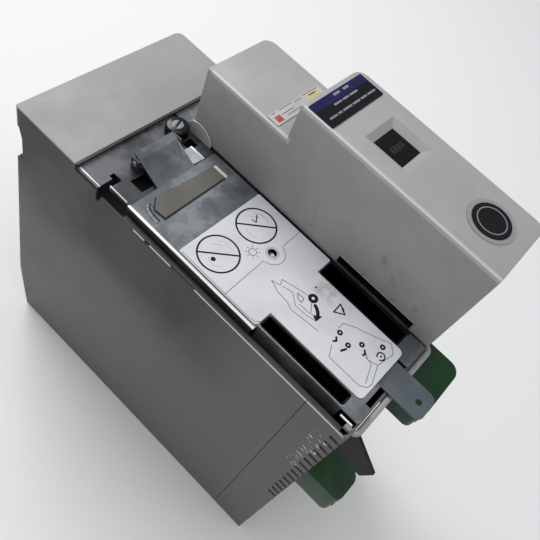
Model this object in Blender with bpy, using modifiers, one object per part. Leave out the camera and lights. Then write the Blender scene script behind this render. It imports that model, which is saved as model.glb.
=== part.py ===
"""Wall-mounted servo drive module, lying on its back with its front face up.

Stations used all through the file, in millimetres:
  across  from the right side wall's outer face towards the left side wall (-X)
  along   from the housing's bottom end towards its top end, where the plugs are (+Y)
  height  from the mounting face at the back towards the front (+Z)
The origin is on the mounting face, under the middle of the whole module.
"""
import math
from collections import namedtuple

import bmesh
import bpy
from mathutils import Matrix, Vector

MM = 0.001

# ---------------------------------------------------------------- driving sizes, mm
# Housing
HOUSING_W = 140.0
HOUSING_L = 284.0
FRONT_H = 259.0           # mounting face to the painted front cap
SHEET = 1.5               # housing sheet steel
GAP = 0.3                 # between pieces that touch
BACK_T = 3.0
WALL_DROP = 8.5           # front cap to the side walls' top edge
WALL_NOTCH = (21.4, 4.6, 2.2)    # from the panel's start, length, depth
WALL_DIP = (44.0, 21.0, 1.6)

# Painted front cap at the bottom end, and the finger recess under its lip
CAP_L = 55.5
CAP_LIP = 18.0
CAP_CORNER_R = 5.0
CAP_EDGE_R = 0.6
RECESS_H = 31.0
RECESS_DEPTH = 4.5
RECESS_LAP = 12.0         # recess wall behind the fan cover's top

# Fan cover at the bottom end: it leans out towards the back, then turns in again
COVER_BULGE = 6.5
COVER_LIP = 1.0
BULGE_H = 58.0
TURN_IN_H = 20.0
TURN_IN = 2.5
INLET_SLOTS = 8
INLET_SLOT_W = 3.2
INLET_SLOT_L = 42.0
INLET_MARGIN = 6.0        # fan's edge to the inlet slots

# Vented cover at the top end
VENT_COVER_L = 30.4
VENT_TOP_DROP = 6.0       # front cap to the vented cover's top edge
VENT_SLOTS = 15
VENT_PITCH = 9.1
VENT_SLOT_W = 3.4
VENT_SLOT_L = 7.5
VENT_SLOT_D = 2.8
VENT_TOP_MARGIN = 5.5

# Control pod on the left half of the front
POD_W = 56.8
POD_FROM_CAP = 17.5
POD_LOW_L = 66.7
POD_LOW_RISE = 51.0       # front cap to the top of the pod's low part
POD_HIGH_RISE = 28.0      # low part to high part
POD_WALL = 2.2
POD_CORNER_R = 7.0
POD_EDGE_R = 1.8
POD_SEAT_GAP = 0.2        # swing panel's face to the pod's lower edge
GRIP_RELIEF_H = 8.0
GRIP_RELIEF_MARGIN = 2.0
POD_BASE_H = 13.0
POD_BASE_T = 2.0

# What the pod carries
DISPLAY_FROM_STEP = 52.3
DISPLAY_OFFSET = 0.9      # pod's middle to the display's
DISPLAY_HALF_W = 10.0
DISPLAY_HALF_L = 11.0
DISPLAY_SLOPE = 4.6
DISPLAY_DEPTH = 3.4
DISPLAY_FIT = 0.3
WINDOW_T = 1.4
NAME_PLATE_L = 19.0
NAME_PLATE_FROM_STEP = 3.2
NAME_PLATE_MARGINS = (1.8, 4.2)
STRIP_LABEL_L = 9.5
STRIP_LABEL_MARGINS = (2.6, 5.0)
BADGE_R = 12.5
BADGE_T = 0.6
BADGE_FROM_END = 25.0
BADGE_OFFSET = 1.9
FILM_T = 0.3
CONTROL_BOARD_DROP = 16.0 # pod's top to the control board
SOCKET_W = 30.0
SOCKET_H = 16.1
SOCKET_D = 22.0
SOCKET_CAVITY_D = 9.0
SOCKET_FROM_POD = 10.0

# Swing panel beside the pod
PANEL_T = 1.2
PANEL_DROP = 2.7          # front cap to the panel's face
PANEL_MARGIN = 5.5        # from the right side wall's outer face
PANEL_POD_GAP = 1.2
PANEL_FROM_CAP = 41.5
PANEL_END_GAP = 1.0
FLANGE_D = 17.0
FLANGE_END_GAP = 1.6      # flanges to the finger slots
FOLD_LAP = 0.2            # how far a folded part runs into the plate
SLOT_L = 66.5
SLOT_FROM_END = 14.0
SLOT_RIGHT_W = 10.3
SLOT_LEFT_W = 13.0
SLOT_LIP = 1.2
SLOT_INSET = 4.0          # the right-hand slot's lip stands in from the panel edge
SLOT_CORNER_R = 2.0
WELL_D = 18.0
WELL_WALL = 1.0
WELL_DROP = 0.2           # panel's face to the well's rim
EMBOSS_L = 11.0
EMBOSS_D = 0.6
EMBOSS_FROM_START = 8.5
EMBOSS_MARGINS = (12.0, 11.0)
LABEL_FROM_START = 41.5
LABEL_MARGINS = (3.0, 1.2)
LABEL_SLOT_GAP = 0.6
LIGHT_FROM_EDGE = 48.5
LIGHT_FROM_SLOT = 28.5
LIGHT_HOLE_R = 4.0
LIGHT_PIPE_R = 2.6
LIGHT_PIPE_GAP = 0.4

# Hinge of the swing panel
HINGE_FROM_CAP = 22.0
HINGE_RISE = 5.7          # panel's face to the rod's middle
HINGE_ROD_R = 2.0
HINGE_RUN = 0.15          # running clearance round the rod
KNUCKLE_WALL = 1.5
LUG_WALL = 1.4
LUG_T = 1.5
LUG_GAP = 0.6
HOOD_RISE = 11.2          # panel's face to the hood's top
HOOD_OVERHANG = 3.5       # hood's end past the rod's middle
HOOD_MARGINS = (24.3, 20.2)      # panel's right and left edges to the hood
PLATE_END_GAP = 0.8       # hinge plate to the swing panel

# Locking tab at the panel's free end
TAB_W = 21.0
TAB_T = 1.2
TAB_GAP = 0.4             # under the panel
TAB_OFFSET = 5.5          # from the middle between the finger slots
TAB_REACH = 24.5          # past the housing's top end
TAB_HIDDEN_L = 36.0
TAB_HOLE_R = 2.3
TAB_HOLE_FROM_END = 7.5
TAB_TRAVEL = 6.0
TAB_BAY_MARGIN = 1.0
TAB_PIN_R = 1.8
TAB_PIN_FROM_START = 19.0
TAB_PIN_HEAD_LAP = 1.8
TAB_PIN_HEAD_T = 1.2

# Captive screw beside the hinge
SCREW_R = 8.2
SCREW_H = 8.0
SCREW_EDGE_R = 1.2
SCREW_SHANK_R = 3.0
SCREW_SHANK_L = 11.0
SCREW_DRIVE_W = 1.8
SCREW_DRIVE_L = 11.0
SCREW_FROM_POD = 10.7
SCREW_FROM_CAP = 13.3

# Power plugs at the top end, and the headers that they push into
Plug = namedtuple("Plug", "width thickness drop reach")
PLUGS = {
    "narrow": Plug(27.0, 28.0, 96.0, 31.0),
    "wide": Plug(50.0, 27.0, 46.0, 32.5),
}
PLUG_EDGE = 12.0          # side wall to the nearer plug
PLUG_NOSE_R = 9.0
TONGUE_L = 8.0
TONGUE_MARGIN = 4.0
TONGUE_FIT = 0.4
HEADER_MARGIN = 1.0
HEADER_L = 22.0
HEADER_FIT = 0.4

# Round bar and black guard at the top end
RIM_R = 2.1
RIM_MARGIN = 0.9
RIM_INSET = (6.6, 6.0)    # from the right side wall, and past the panel's left edge
RIM_BEND_R = 3.6
GUARD_ACROSS = 10.2
GUARD_T = 2.0
GUARD_REACH = 27.5
GUARD_H = 34.0

# Cooling
FAN_GAP = 8.4             # between the two fans
FAN_SIDE_GAP = 4.0
FAN_FOOT_GAP = 0.7
FAN_DEPTH = 20.0
FAN_ALONG = 10.0
FAN_FRAME_WALL = 2.5
FAN_TIP_GAP = 1.2
FAN_HUB_R = 11.0
FAN_HUB_L = 14.0
FAN_BLADES = 7
BLADE_T = 1.2
BLADE_PITCH = math.radians(38)
SINK_ALONG = 46.0
SINK_END_GAP = 17.6       # heat sink to the vented cover
SINK_SIDE_GAP = 3.0
SINK_TOP_H = 68.0
SINK_BASE_T = 10.0
FIN_COUNT = 11
FIN_T = 2.2

# Boards and power parts
BOARD_T = 1.6
BOARD_SIDE_GAP = 5.0
POWER_BOARD_RISE = 27.0   # heat sink's top to the power board
STANDOFF_R = 4.0
STANDOFF_INSET = 7.0
SHIELD_GAP = 6.9          # finger wells to the shield
SHIELD_FLANGE = 15.0
DRIVER_BOARD_DROP = 46.2  # shield to the driver board
BRACKET_D = 24.0
BRACKET_LEDGE = 7.0
BRACKET_SETBACK = 14.0    # heat sink's start to the brackets and the shield
CAPACITOR_R = 17.5
CAPACITOR_SPACING = 4.0
CAPACITOR_FROM_SINK = 62.0
CAPACITOR_CLEAR = 11.5    # bus bars to the driver board's brackets
BUS_BAR_W = 12.0
BUS_BAR_T = 2.0
BUS_BAR_END_GAP = 29.0
MODULE_W = 62.0
MODULE_L = 122.0
MODULE_H = 17.0
MODULE_EDGE_R = 1.5

# ---------------------------------------------------------------- derived stations
# Lengthwise
END_REACH = max([TAB_REACH] + [plug.reach for plug in PLUGS.values()])
LENGTH_MID = (HOUSING_L + END_REACH - COVER_BULGE) / 2
SEAM = HOUSING_L - VENT_COVER_L
HINGE_ALONG = CAP_L + HINGE_FROM_CAP
HOOD_START = HINGE_ALONG - HOOD_OVERHANG
SCREW_ALONG = CAP_L + SCREW_FROM_CAP
POD_START = CAP_L + POD_FROM_CAP
POD_STEP = POD_START + POD_LOW_L
PANEL_START = CAP_L + PANEL_FROM_CAP
PANEL_END = HOUSING_L - PANEL_END_GAP
SLOT_END = HOUSING_L - SLOT_FROM_END
SLOT_START = SLOT_END - SLOT_L
LIGHT_ALONG = SLOT_START - LIGHT_FROM_SLOT
LABEL_START = PANEL_START + LABEL_FROM_START
SINK_END = SEAM - SINK_END_GAP

# Across
INSIDE = SHEET + GAP
POD_NEAR = HOUSING_W - POD_W
POD_MID = HOUSING_W - POD_W / 2
PANEL_FAR = POD_NEAR - PANEL_POD_GAP
SCREW_ACROSS = POD_NEAR - SCREW_FROM_POD
SLOT_RIGHT_START = PANEL_MARGIN + SLOT_INSET + SLOT_LIP
SLOTS = {"right": (SLOT_RIGHT_START, SLOT_RIGHT_START + SLOT_RIGHT_W),
         "left": (PANEL_FAR - SLOT_LIP - SLOT_LEFT_W, PANEL_FAR - SLOT_LIP)}
TAB_ACROSS = (SLOTS["right"][1] + SLOTS["left"][0]) / 2 + TAB_OFFSET
HOOD_SPAN = (PANEL_MARGIN + HOOD_MARGINS[0], PANEL_FAR - HOOD_MARGINS[1])
HOOD_ACROSS = sum(HOOD_SPAN) / 2
LIGHT_ACROSS = PANEL_MARGIN + LIGHT_FROM_EDGE
RIM_ENDS = {"right": RIM_INSET[0], "left": PANEL_FAR + RIM_INSET[1]}
FAN_SIZE = (HOUSING_W - FAN_GAP) / 2 - INSIDE - FAN_SIDE_GAP
FAN_BORE_R = FAN_SIZE / 2 - FAN_FRAME_WALL
FAN_CENTRES = {"right": INSIDE + FAN_SIDE_GAP + FAN_SIZE / 2,
               "left": HOUSING_W - INSIDE - FAN_SIDE_GAP - FAN_SIZE / 2}

# Height
CAP_LIP_H = FRONT_H - CAP_LIP
COVER_TOP = CAP_LIP_H - RECESS_H
WALL_H = FRONT_H - WALL_DROP
VENT_TOP_H = FRONT_H - VENT_TOP_DROP
RIM_H = VENT_TOP_H - RIM_R - RIM_MARGIN
PANEL_TOP_H = FRONT_H - PANEL_DROP
PANEL_UNDER = PANEL_TOP_H - PANEL_T
PLATE_H = PANEL_UNDER - GAP          # top of the fixed hinge plate
PLATE_UNDER = PLATE_H - SHEET
HINGE_H = PANEL_TOP_H + HINGE_RISE
HOOD_TOP_H = PANEL_TOP_H + HOOD_RISE
POD_FLOOR_H = PANEL_TOP_H + POD_SEAT_GAP
POD_LOW_H = FRONT_H + POD_LOW_RISE
POD_HIGH_H = POD_LOW_H + POD_HIGH_RISE
CONTROL_BOARD_H = POD_HIGH_H - CONTROL_BOARD_DROP
WELL_TOP = PANEL_TOP_H - WELL_DROP
SHIELD_H = WELL_TOP - WELL_D - SHIELD_GAP
DRIVER_BOARD_H = SHIELD_H - DRIVER_BOARD_DROP
POWER_BOARD_H = SINK_TOP_H + POWER_BOARD_RISE
BUS_BAR_TOP = DRIVER_BOARD_H - GAP - BRACKET_D - CAPACITOR_CLEAR
CAPACITOR_H = BUS_BAR_TOP - BUS_BAR_T - 2 * GAP - POWER_BOARD_H - BOARD_T
FAN_MID_H = BACK_T + GAP + FAN_FOOT_GAP + FAN_SIZE / 2

PAST = 5.0                # how far a cutter runs past the face that it opens

# ---------------------------------------------------------------- scene and finishes
FINISHES = {
    "painted_steel": ("9ea0a0", 0.45, 0.1),
    "dark_painted_steel": ("57545a", 0.5, 0.2),
    "galvanised_steel": ("8b9194", 0.35, 0.9),
    "zinc_plated_steel": ("656d73", 0.4, 0.8),
    "aluminium": ("b4b7ba", 0.35, 0.9),
    "copper": ("b4734a", 0.3, 1.0),
    "light_grey_plastic": ("a9a8a8", 0.5, 0.0),
    "black_plastic": ("17181a", 0.45, 0.0),
    "green_plastic": ("24532f", 0.4, 0.0),
    "clear_plastic": ("c9d6d2", 0.15, 0.0),
    "smoked_window": ("0b0c0d", 0.1, 0.0),
    "paper_label": ("dcdde2", 0.6, 0.0),
    "blue_black_label": ("10162c", 0.35, 0.0),
    "circuit_board": ("1f5a3a", 0.5, 0.0),
    "capacitor_sleeve": ("20242c", 0.4, 0.0),
    "module_plastic": ("d8d4c8", 0.5, 0.0),
}


def clear_scene():
    """Remove every object that the opened file holds."""
    for item in list(bpy.data.objects):
        bpy.data.objects.remove(item, do_unlink=True)


def new_collection(name):
    """A new collection in the scene."""
    collection = bpy.data.collections.new(name)
    bpy.context.scene.collection.children.link(collection)
    return collection


def linear(channel):
    """One sRGB channel, 0 to 1, as linear light."""
    return channel / 12.92 if channel <= 0.04045 else ((channel + 0.055) / 1.055) ** 2.4


def finish_material(part_name, finish):
    """A Principled material of the named finish, for one sub-part."""
    hex_colour, roughness, metallic = FINISHES[finish]
    channels = [linear(int(hex_colour[i:i + 2], 16) / 255) for i in (0, 2, 4)]
    material = bpy.data.materials.new(part_name + "_" + finish)
    material.use_nodes = True
    shader = material.node_tree.nodes["Principled BSDF"]
    shader.inputs["Base Color"].default_value = (*channels, 1.0)
    shader.inputs["Roughness"].default_value = roughness
    shader.inputs["Metallic"].default_value = metallic
    return material


def place(across, along, height):
    """World position, in metres, of a point given by its three stations."""
    return Vector((HOUSING_W / 2 - across, along - LENGTH_MID, height)) * MM


# ---------------------------------------------------------------- shape helpers
def add_object(name, mesh, location, finish):
    """Put a mesh in the scene: a part with its finish, or a cutter if it has none."""
    item = bpy.data.objects.new(name, mesh)
    item.location = location
    if finish is None:
        CUTTERS.objects.link(item)
        item.hide_render = True
        item.display_type = "WIRE"
    else:
        PARTS.objects.link(item)
        mesh.materials.clear()
        mesh.materials.append(finish_material(name, finish))
    return item


def mesh_from(bm, name):
    """A bmesh as a mesh, with the bmesh freed."""
    mesh = bpy.data.meshes.new(name)
    bm.to_mesh(mesh)
    bm.free()
    return mesh


def block(name, across, along, height, finish=None):
    """A rectangular block between two stations on each axis."""
    low = place(across[1], along[0], height[0])
    high = place(across[0], along[1], height[1])
    bm = bmesh.new()
    bmesh.ops.create_cube(bm, size=1.0)
    bmesh.ops.scale(bm, vec=high - low, verts=bm.verts)
    return add_object(name, mesh_from(bm, name), (low + high) / 2, finish)


def shell(name, across, along, height, keep, wall, finish):
    """Sheet-metal cover: the kept faces of a block, thickened inwards."""
    item = block(name, across, along, height, finish)
    bm = bmesh.new()
    bm.from_mesh(item.data)
    directions = {"+x": (1, 0, 0), "-x": (-1, 0, 0), "+y": (0, 1, 0),
                  "-y": (0, -1, 0), "+z": (0, 0, 1), "-z": (0, 0, -1)}
    kept = [Vector(directions[side]) for side in keep]
    dropped = [face for face in bm.faces if all(face.normal.dot(side) < 0.9 for side in kept)]
    bmesh.ops.delete(bm, geom=dropped, context="FACES")
    bm.to_mesh(item.data)
    bm.free()
    thicken(item, wall)
    return item


def thicken(item, wall):
    """Give an open sheet its wall, inwards from its faces."""
    solid = item.modifiers.new("Sheet", "SOLIDIFY")
    solid.thickness = wall * MM
    solid.offset = -1.0
    solid.use_even_offset = True


def soften(item, width, segments=2):
    """Round a solid's sharp edges."""
    bevel = item.modifiers.new("Rounding", "BEVEL")
    bevel.width = width * MM
    bevel.segments = segments
    bevel.limit_method = "ANGLE"
    bevel.angle_limit = math.radians(50)
    return item


def rounded_outline(corners, steps=4):
    """Points of a closed outline whose corners are (x, y, radius)."""
    points = []
    count = len(corners)
    for i, (x, y, radius) in enumerate(corners):
        here = Vector((x, y))
        if radius <= 0:
            points.append(here)
            continue
        to_last = (Vector(corners[i - 1][:2]) - here).normalized()
        to_next = (Vector(corners[(i + 1) % count][:2]) - here).normalized()
        half = to_last.angle(to_next) / 2
        centre = here + (to_last + to_next).normalized() * radius / math.sin(half)
        first = here + to_last * radius / math.tan(half) - centre
        last = here + to_next * radius / math.tan(half) - centre
        turn = first.angle_signed(last)
        for step in range(steps + 1):
            points.append(centre + Matrix.Rotation(-turn * step / steps, 2) @ first)
    return points


def outline_solid(name, points, thickness, matrix, finish):
    """A flat outline in its own XY plane, extruded evenly to both sides of it."""
    curve = bpy.data.curves.new(name, "CURVE")
    curve.dimensions = "2D"
    curve.fill_mode = "BOTH"
    curve.extrude = thickness * MM / 2
    spline = curve.splines.new("POLY")
    spline.points.add(len(points) - 1)
    for target, point in zip(spline.points, points):
        target.co = (point[0] * MM, point[1] * MM, 0.0, 1.0)
    spline.use_cyclic_u = True
    return curve_to_mesh(name, curve, matrix, finish)


def curve_to_mesh(name, curve, matrix, finish):
    """Turn a curve into a welded mesh object that booleans can use."""
    guide = bpy.data.objects.new(name + "_guide", curve)
    bpy.context.scene.collection.objects.link(guide)
    bpy.context.view_layer.update()
    graph = bpy.context.evaluated_depsgraph_get()
    mesh = bpy.data.meshes.new_from_object(guide.evaluated_get(graph))
    bpy.data.objects.remove(guide, do_unlink=True)
    bpy.data.curves.remove(curve)
    bm = bmesh.new()
    bm.from_mesh(mesh)
    bmesh.ops.remove_doubles(bm, verts=bm.verts, dist=0.00001)
    bmesh.ops.recalc_face_normals(bm, faces=bm.faces)
    bm.to_mesh(mesh)
    bm.free()
    mesh.name = name
    mesh.transform(matrix.to_3x3().to_4x4())
    return add_object(name, mesh, matrix.translation, finish)


def side_profile(name, corners, across, finish=None, steps=4):
    """A solid whose (along, height, radius) outline is swept between two across stations."""
    points = [(p.x - LENGTH_MID, p.y) for p in rounded_outline(corners, steps)]
    turn = Matrix(((0, 0, 1), (1, 0, 0), (0, 1, 0))).to_4x4()
    matrix = Matrix.Translation((HOUSING_W / 2 * MM - sum(across) / 2 * MM, 0, 0)) @ turn
    return outline_solid(name, points, across[1] - across[0], matrix, finish)


def plan_profile(name, corners, height, finish=None, steps=4):
    """A solid whose (across, along, radius) outline is swept between two heights."""
    points = [(HOUSING_W / 2 - p.x, p.y - LENGTH_MID) for p in rounded_outline(corners, steps)]
    matrix = Matrix.Translation((0, 0, sum(height) / 2 * MM))
    return outline_solid(name, points, height[1] - height[0], matrix, finish)


def cylinder(name, centre, radius, length, axis="Z", finish=None, segments=24):
    """A round bar centred on three stations, along the world axis named."""
    bm = bmesh.new()
    bmesh.ops.create_cone(bm, cap_ends=True, segments=segments, radius1=radius * MM,
                          radius2=radius * MM, depth=length * MM)
    turns = {"X": Matrix.Rotation(math.pi / 2, 4, "Y"), "Y": Matrix.Rotation(math.pi / 2, 4, "X"),
             "Z": Matrix.Identity(4)}
    bmesh.ops.transform(bm, matrix=turns[axis], verts=bm.verts)
    mesh = mesh_from(bm, name)
    item = add_object(name, mesh, place(*centre), finish)
    smooth(item)
    return item


def smooth(item):
    """Shade a round piece smooth, with its flat ends kept sharp."""
    item.data.shade_smooth()
    item.data.set_sharp_from_angle(angle=math.radians(35))


def boolean(item, tool, operation="DIFFERENCE"):
    """Cut a tool out of a piece, or join it on."""
    modifier = item.modifiers.new(operation.title() + " " + tool.name, "BOOLEAN")
    modifier.operation = operation
    modifier.object = tool
    return item


def repeat(tool, count, offset):
    """Repeat a cutter in a row."""
    row = tool.modifiers.new("Row", "ARRAY")
    row.count = count
    row.use_relative_offset = False
    row.use_constant_offset = True
    row.constant_offset_displace = offset
    row.use_merge_vertices = False
    return tool


def pivot(name, location):
    """An empty on a joint's axis, which the moving pieces hang from."""
    empty = bpy.data.objects.new(name, None)
    empty.empty_display_size = 0.01
    empty.location = location
    PARTS.objects.link(empty)
    return empty


def hang(empty, *items):
    """Parent pieces to an empty without moving them."""
    for item in items:
        item.parent = empty
        item.location = item.location - empty.location


# ---------------------------------------------------------------- housing
def dip(start, length, depth, slope):
    """Corners of a shallow notch in a side wall's top edge, from its far end to its near end."""
    return [(start + length, WALL_H, 0), (start + length - slope, WALL_H - depth, 0),
            (start + slope, WALL_H - depth, 0), (start, WALL_H, 0)]


def wall_outline(top_end):
    """Outline of a side wall in (along, height, radius), with the end cover's lean."""
    cap_under = FRONT_H - SHEET - GAP
    plate_under = PLATE_UNDER - GAP
    cap_end = CAP_L + GAP
    step_l = 2.0
    step_d = 6.0
    return [
        (0.0, 0.0, 0), (top_end, 0.0, 0), (top_end, WALL_H, 0),
        *dip(PANEL_START + WALL_DIP[0], *WALL_DIP[1:], 2.0),
        *dip(PANEL_START + WALL_NOTCH[0], *WALL_NOTCH[1:], 1.2),
        (HINGE_ALONG + step_l, WALL_H, 0), (HINGE_ALONG, WALL_H - step_d, 0),
        (HINGE_ALONG - step_l, WALL_H - step_d, 0), (HINGE_ALONG - step_l, plate_under, 0),
        (cap_end, plate_under, 0), (cap_end, cap_under, 0),
        (INSIDE, cap_under, 0), (INSIDE, CAP_LIP_H, 0),
        (RECESS_DEPTH, CAP_LIP_H - CAP_LIP / 2, RECESS_DEPTH), (RECESS_DEPTH, COVER_TOP, 0),
        (-COVER_LIP, COVER_TOP, 0.8), (-COVER_BULGE, BULGE_H, 6.0), (-TURN_IN, TURN_IN_H, 4.0),
    ]


def build_housing():
    """Folded steel case: back plate, side walls, front cap, covers, and the plates under its front."""
    inner = (INSIDE, HOUSING_W - INSIDE)
    block("back_plate", inner, (INSIDE, HOUSING_L - INSIDE), (0.0, BACK_T), "aluminium")
    for name, across in (("side_wall_right", (0.0, SHEET)),
                         ("side_wall_left", (HOUSING_W - SHEET, HOUSING_W))):
        side_profile(name, wall_outline(SEAM - GAP), across, "dark_painted_steel")
    cap = plan_profile("front_cap", [(0.0, 0.0, 0.8), (0.0, CAP_L, 0), (HOUSING_W, CAP_L, 0),
                                     (HOUSING_W, 0.0, CAP_CORNER_R)],
                       (CAP_LIP_H, FRONT_H), "painted_steel")
    soften(cap, CAP_EDGE_R)
    boolean(cap, block("cut_cap", (-PAST, HOUSING_W + PAST), (SHEET, CAP_L + PAST),
                       (CAP_LIP_H - PAST, FRONT_H - SHEET)))
    build_end_cover(inner)
    shell("recess_wall", inner, (RECESS_DEPTH + GAP, RECESS_DEPTH + RECESS_LAP),
          (COVER_TOP - RECESS_LAP, FRONT_H - SHEET - GAP), ("-y",), SHEET, "dark_painted_steel")
    build_vent_cover((0.0, HOUSING_W))
    build_hinge_plate()
    build_hinge_bracket()
    block("pod_mount_plate", (POD_NEAR + PLATE_END_GAP, inner[1]), (CAP_L + GAP, HOUSING_L - 4.0),
          (PLATE_UNDER, PLATE_H), "galvanised_steel")
    shell("inner_shield", inner, (SINK_ALONG + BRACKET_SETBACK, SEAM - 6.0),
          (SHIELD_H - SHIELD_FLANGE, SHIELD_H), ("+z", "+x", "-x"), PANEL_T, "galvanised_steel")
    pipe = (SHIELD_H + LIGHT_PIPE_GAP, PANEL_UNDER - LIGHT_PIPE_GAP * 3)
    cylinder("charge_light_pipe", (LIGHT_ACROSS, LIGHT_ALONG, sum(pipe) / 2), LIGHT_PIPE_R,
             pipe[1] - pipe[0], "Z", "clear_plastic", 20)


def build_end_cover(inner):
    """Fan cover: one leaning sheet with a lip and two slotted air inlets."""
    profile = [(RECESS_DEPTH, COVER_TOP), (-COVER_LIP, COVER_TOP), (-COVER_BULGE, BULGE_H),
               (-TURN_IN, TURN_IN_H), (0.0, BACK_T + GAP)]
    bm = bmesh.new()
    edge = place(inner[1], 0, 0).x
    row = [bm.verts.new((edge, (along - LENGTH_MID) * MM, height * MM)) for along, height in profile]
    edges = [bm.edges.new(pair) for pair in zip(row, row[1:])]
    grown = bmesh.ops.extrude_edge_only(bm, edges=edges)["geom"]
    moved = [item for item in grown if isinstance(item, bmesh.types.BMVert)]
    bmesh.ops.translate(bm, verts=moved, vec=((inner[1] - inner[0]) * MM, 0, 0))
    bmesh.ops.recalc_face_normals(bm, faces=bm.faces)
    if sum(face.normal.y for face in bm.faces) > 0:
        bmesh.ops.reverse_faces(bm, faces=bm.faces)
    cover = add_object("end_cover", mesh_from(bm, "end_cover"), (0, 0, 0), "dark_painted_steel")
    thicken(cover, SHEET)
    pitch = (FAN_SIZE - 2 * INLET_MARGIN) / INLET_SLOTS
    height = (FAN_MID_H - INLET_SLOT_L / 2, FAN_MID_H + INLET_SLOT_L / 2)
    for side, centre in FAN_CENTRES.items():
        first = centre - pitch * (INLET_SLOTS - 1) / 2
        slot = block("cut_inlet_" + side, (first - INLET_SLOT_W / 2, first + INLET_SLOT_W / 2),
                     (-COVER_BULGE - PAST, PAST), height)
        boolean(cover, repeat(slot, INLET_SLOTS, (-pitch * MM, 0, 0)))


def build_vent_cover(width):
    """Cover of the top end: two sides and the end face, vented along both corners."""
    cover = shell("vent_cover", width, (SEAM, HOUSING_L), (0.0, VENT_TOP_H),
                  ("+x", "-x", "+y"), SHEET, "dark_painted_steel")
    trim = block("cut_vent_top", (-PAST, HOUSING_W + PAST), (SEAM - PAST, HOUSING_L - SHEET - COVER_LIP),
                 (WALL_H, VENT_TOP_H + PAST))
    boolean(cover, trim)
    first_h = VENT_TOP_H - VENT_TOP_MARGIN - VENT_SLOTS * VENT_PITCH
    for side, edge in (("right", 0.0), ("left", HOUSING_W)):
        slot = block("cut_vents_" + side, (edge - VENT_SLOT_D, edge + VENT_SLOT_D),
                     (HOUSING_L - VENT_SLOT_L, HOUSING_L + PAST), (first_h, first_h + VENT_SLOT_W))
        boolean(cover, repeat(slot, VENT_SLOTS, (0, 0, VENT_PITCH * MM)))
    for name in PLUGS:
        across, height = header_span(name, HEADER_FIT)
        boolean(cover, block("cut_header_" + name, across, (SEAM + PAST, HOUSING_L + PAST), height))
    for side, across in RIM_ENDS.items():
        hole = cylinder("cut_rim_" + side, (across, HOUSING_L, RIM_H), RIM_R + GAP, 12.0, "Y", None, 16)
        boolean(cover, hole)


def build_hinge_plate():
    """Fixed plate between the front cap and the swing panel, notched round the hook and hinge."""
    far = POD_NEAR - 1.0
    end = PANEL_START - PLATE_END_GAP
    side = PANEL_MARGIN + 1.0
    hook_start = HINGE_ALONG - 5.5
    cutter_h = (PLATE_UNDER - PAST, PLATE_H + PAST)
    plate = plan_profile("hinge_plate", [
        (1.0, CAP_L + GAP, 0), (1.0, hook_start + 3.0, 0), (13.0, hook_start + 3.0, 0),
        (13.0, hook_start, 0), (16.5, hook_start, 0), (16.5, hook_start + 7.0, 0),
        (side, hook_start + 7.0, 0), (side, end, 0), (far, end, 0), (far, CAP_L + GAP, 0)],
        (PLATE_UNDER, PLATE_H), "galvanised_steel")
    boolean(plate, block("cut_hood_bay", (HOOD_SPAN[0] - 9.0, HOOD_SPAN[1] - 3.0),
                         (HINGE_ALONG + 5.0, PANEL_START - 4.0), cutter_h))
    boolean(plate, block("cut_hook_bay", (SCREW_ACROSS - 3.0, SCREW_ACROSS + 5.0),
                         (SCREW_ALONG + SCREW_R + 0.6, SCREW_ALONG + SCREW_R + 8.0), cutter_h))
    boolean(plate, cylinder("cut_screw", (SCREW_ACROSS, SCREW_ALONG, PLATE_H),
                            SCREW_SHANK_R + 0.4, 20.0, "Z", None, 20))


def build_hinge_bracket():
    """Two lugs on a foot, and the rod that the panel's knuckle turns on."""
    lug_r = HINGE_ROD_R + LUG_WALL
    foot_h = PLATE_H + GAP
    span = (HOOD_SPAN[0] - LUG_GAP - LUG_T, HOOD_SPAN[1] + LUG_GAP + LUG_T)
    bracket = block("hinge_bracket", span, (HINGE_ALONG - lug_r, HINGE_ALONG + lug_r),
                    (foot_h, HINGE_H + lug_r), "galvanised_steel")
    bay = block("cut_bracket", (span[0] + LUG_T, span[1] - LUG_T),
                (HINGE_ALONG - lug_r - PAST, HINGE_ALONG + lug_r + PAST),
                (foot_h + 1.0, HINGE_H + lug_r + PAST))
    boolean(bracket, bay)
    rod_end = 0.8
    boolean(bracket, cylinder("cut_rod", (HOOD_ACROSS, HINGE_ALONG, HINGE_H),
                              HINGE_ROD_R + 0.05, span[1] - span[0] + 2 * PAST, "X", None, 20))
    cylinder("hinge_rod", (HOOD_ACROSS, HINGE_ALONG, HINGE_H), HINGE_ROD_R,
             span[1] - span[0] + 2 * rod_end, "X", "zinc_plated_steel", 20)


def build_end_rim():
    """Round bar across the top end, under the locking tab, bent into the end face."""
    curve = bpy.data.curves.new("end_rim", "CURVE")
    curve.dimensions = "3D"
    curve.bevel_depth = RIM_R * MM
    curve.bevel_resolution = 2
    curve.use_fill_caps = True
    inside = HOUSING_L - 6.0
    outside = HOUSING_L + RIM_R + 0.6
    corners = [(RIM_ENDS["right"], inside, 0), (RIM_ENDS["right"], outside, RIM_BEND_R),
               (RIM_ENDS["left"], outside, RIM_BEND_R), (RIM_ENDS["left"], inside, 0)]
    route = [(p.x, p.y) for p in rounded_outline(corners)]
    spline = curve.splines.new("POLY")
    spline.points.add(len(route) - 1)
    for target, (across, along) in zip(spline.points, route):
        target.co = (*place(across, along, RIM_H), 1.0)
    smooth(curve_to_mesh("end_rim", curve, Matrix.Identity(4), "painted_steel"))


def build_side_guard():
    """Black wing that keeps the plug leads off the housing's corner."""
    top = RIM_H - 5.0
    side_profile("side_guard", [
        (HOUSING_L + GAP, top, 0), (HOUSING_L + 5.0, top, 0),
        (HOUSING_L + GUARD_REACH, top - 20.0, 1.5), (HOUSING_L + GUARD_REACH - 4.5, top - GUARD_H, 0),
        (HOUSING_L + GAP, top - GUARD_H, 0)], (GUARD_ACROSS, GUARD_ACROSS + GUARD_T), "black_plastic", 2)


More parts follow.
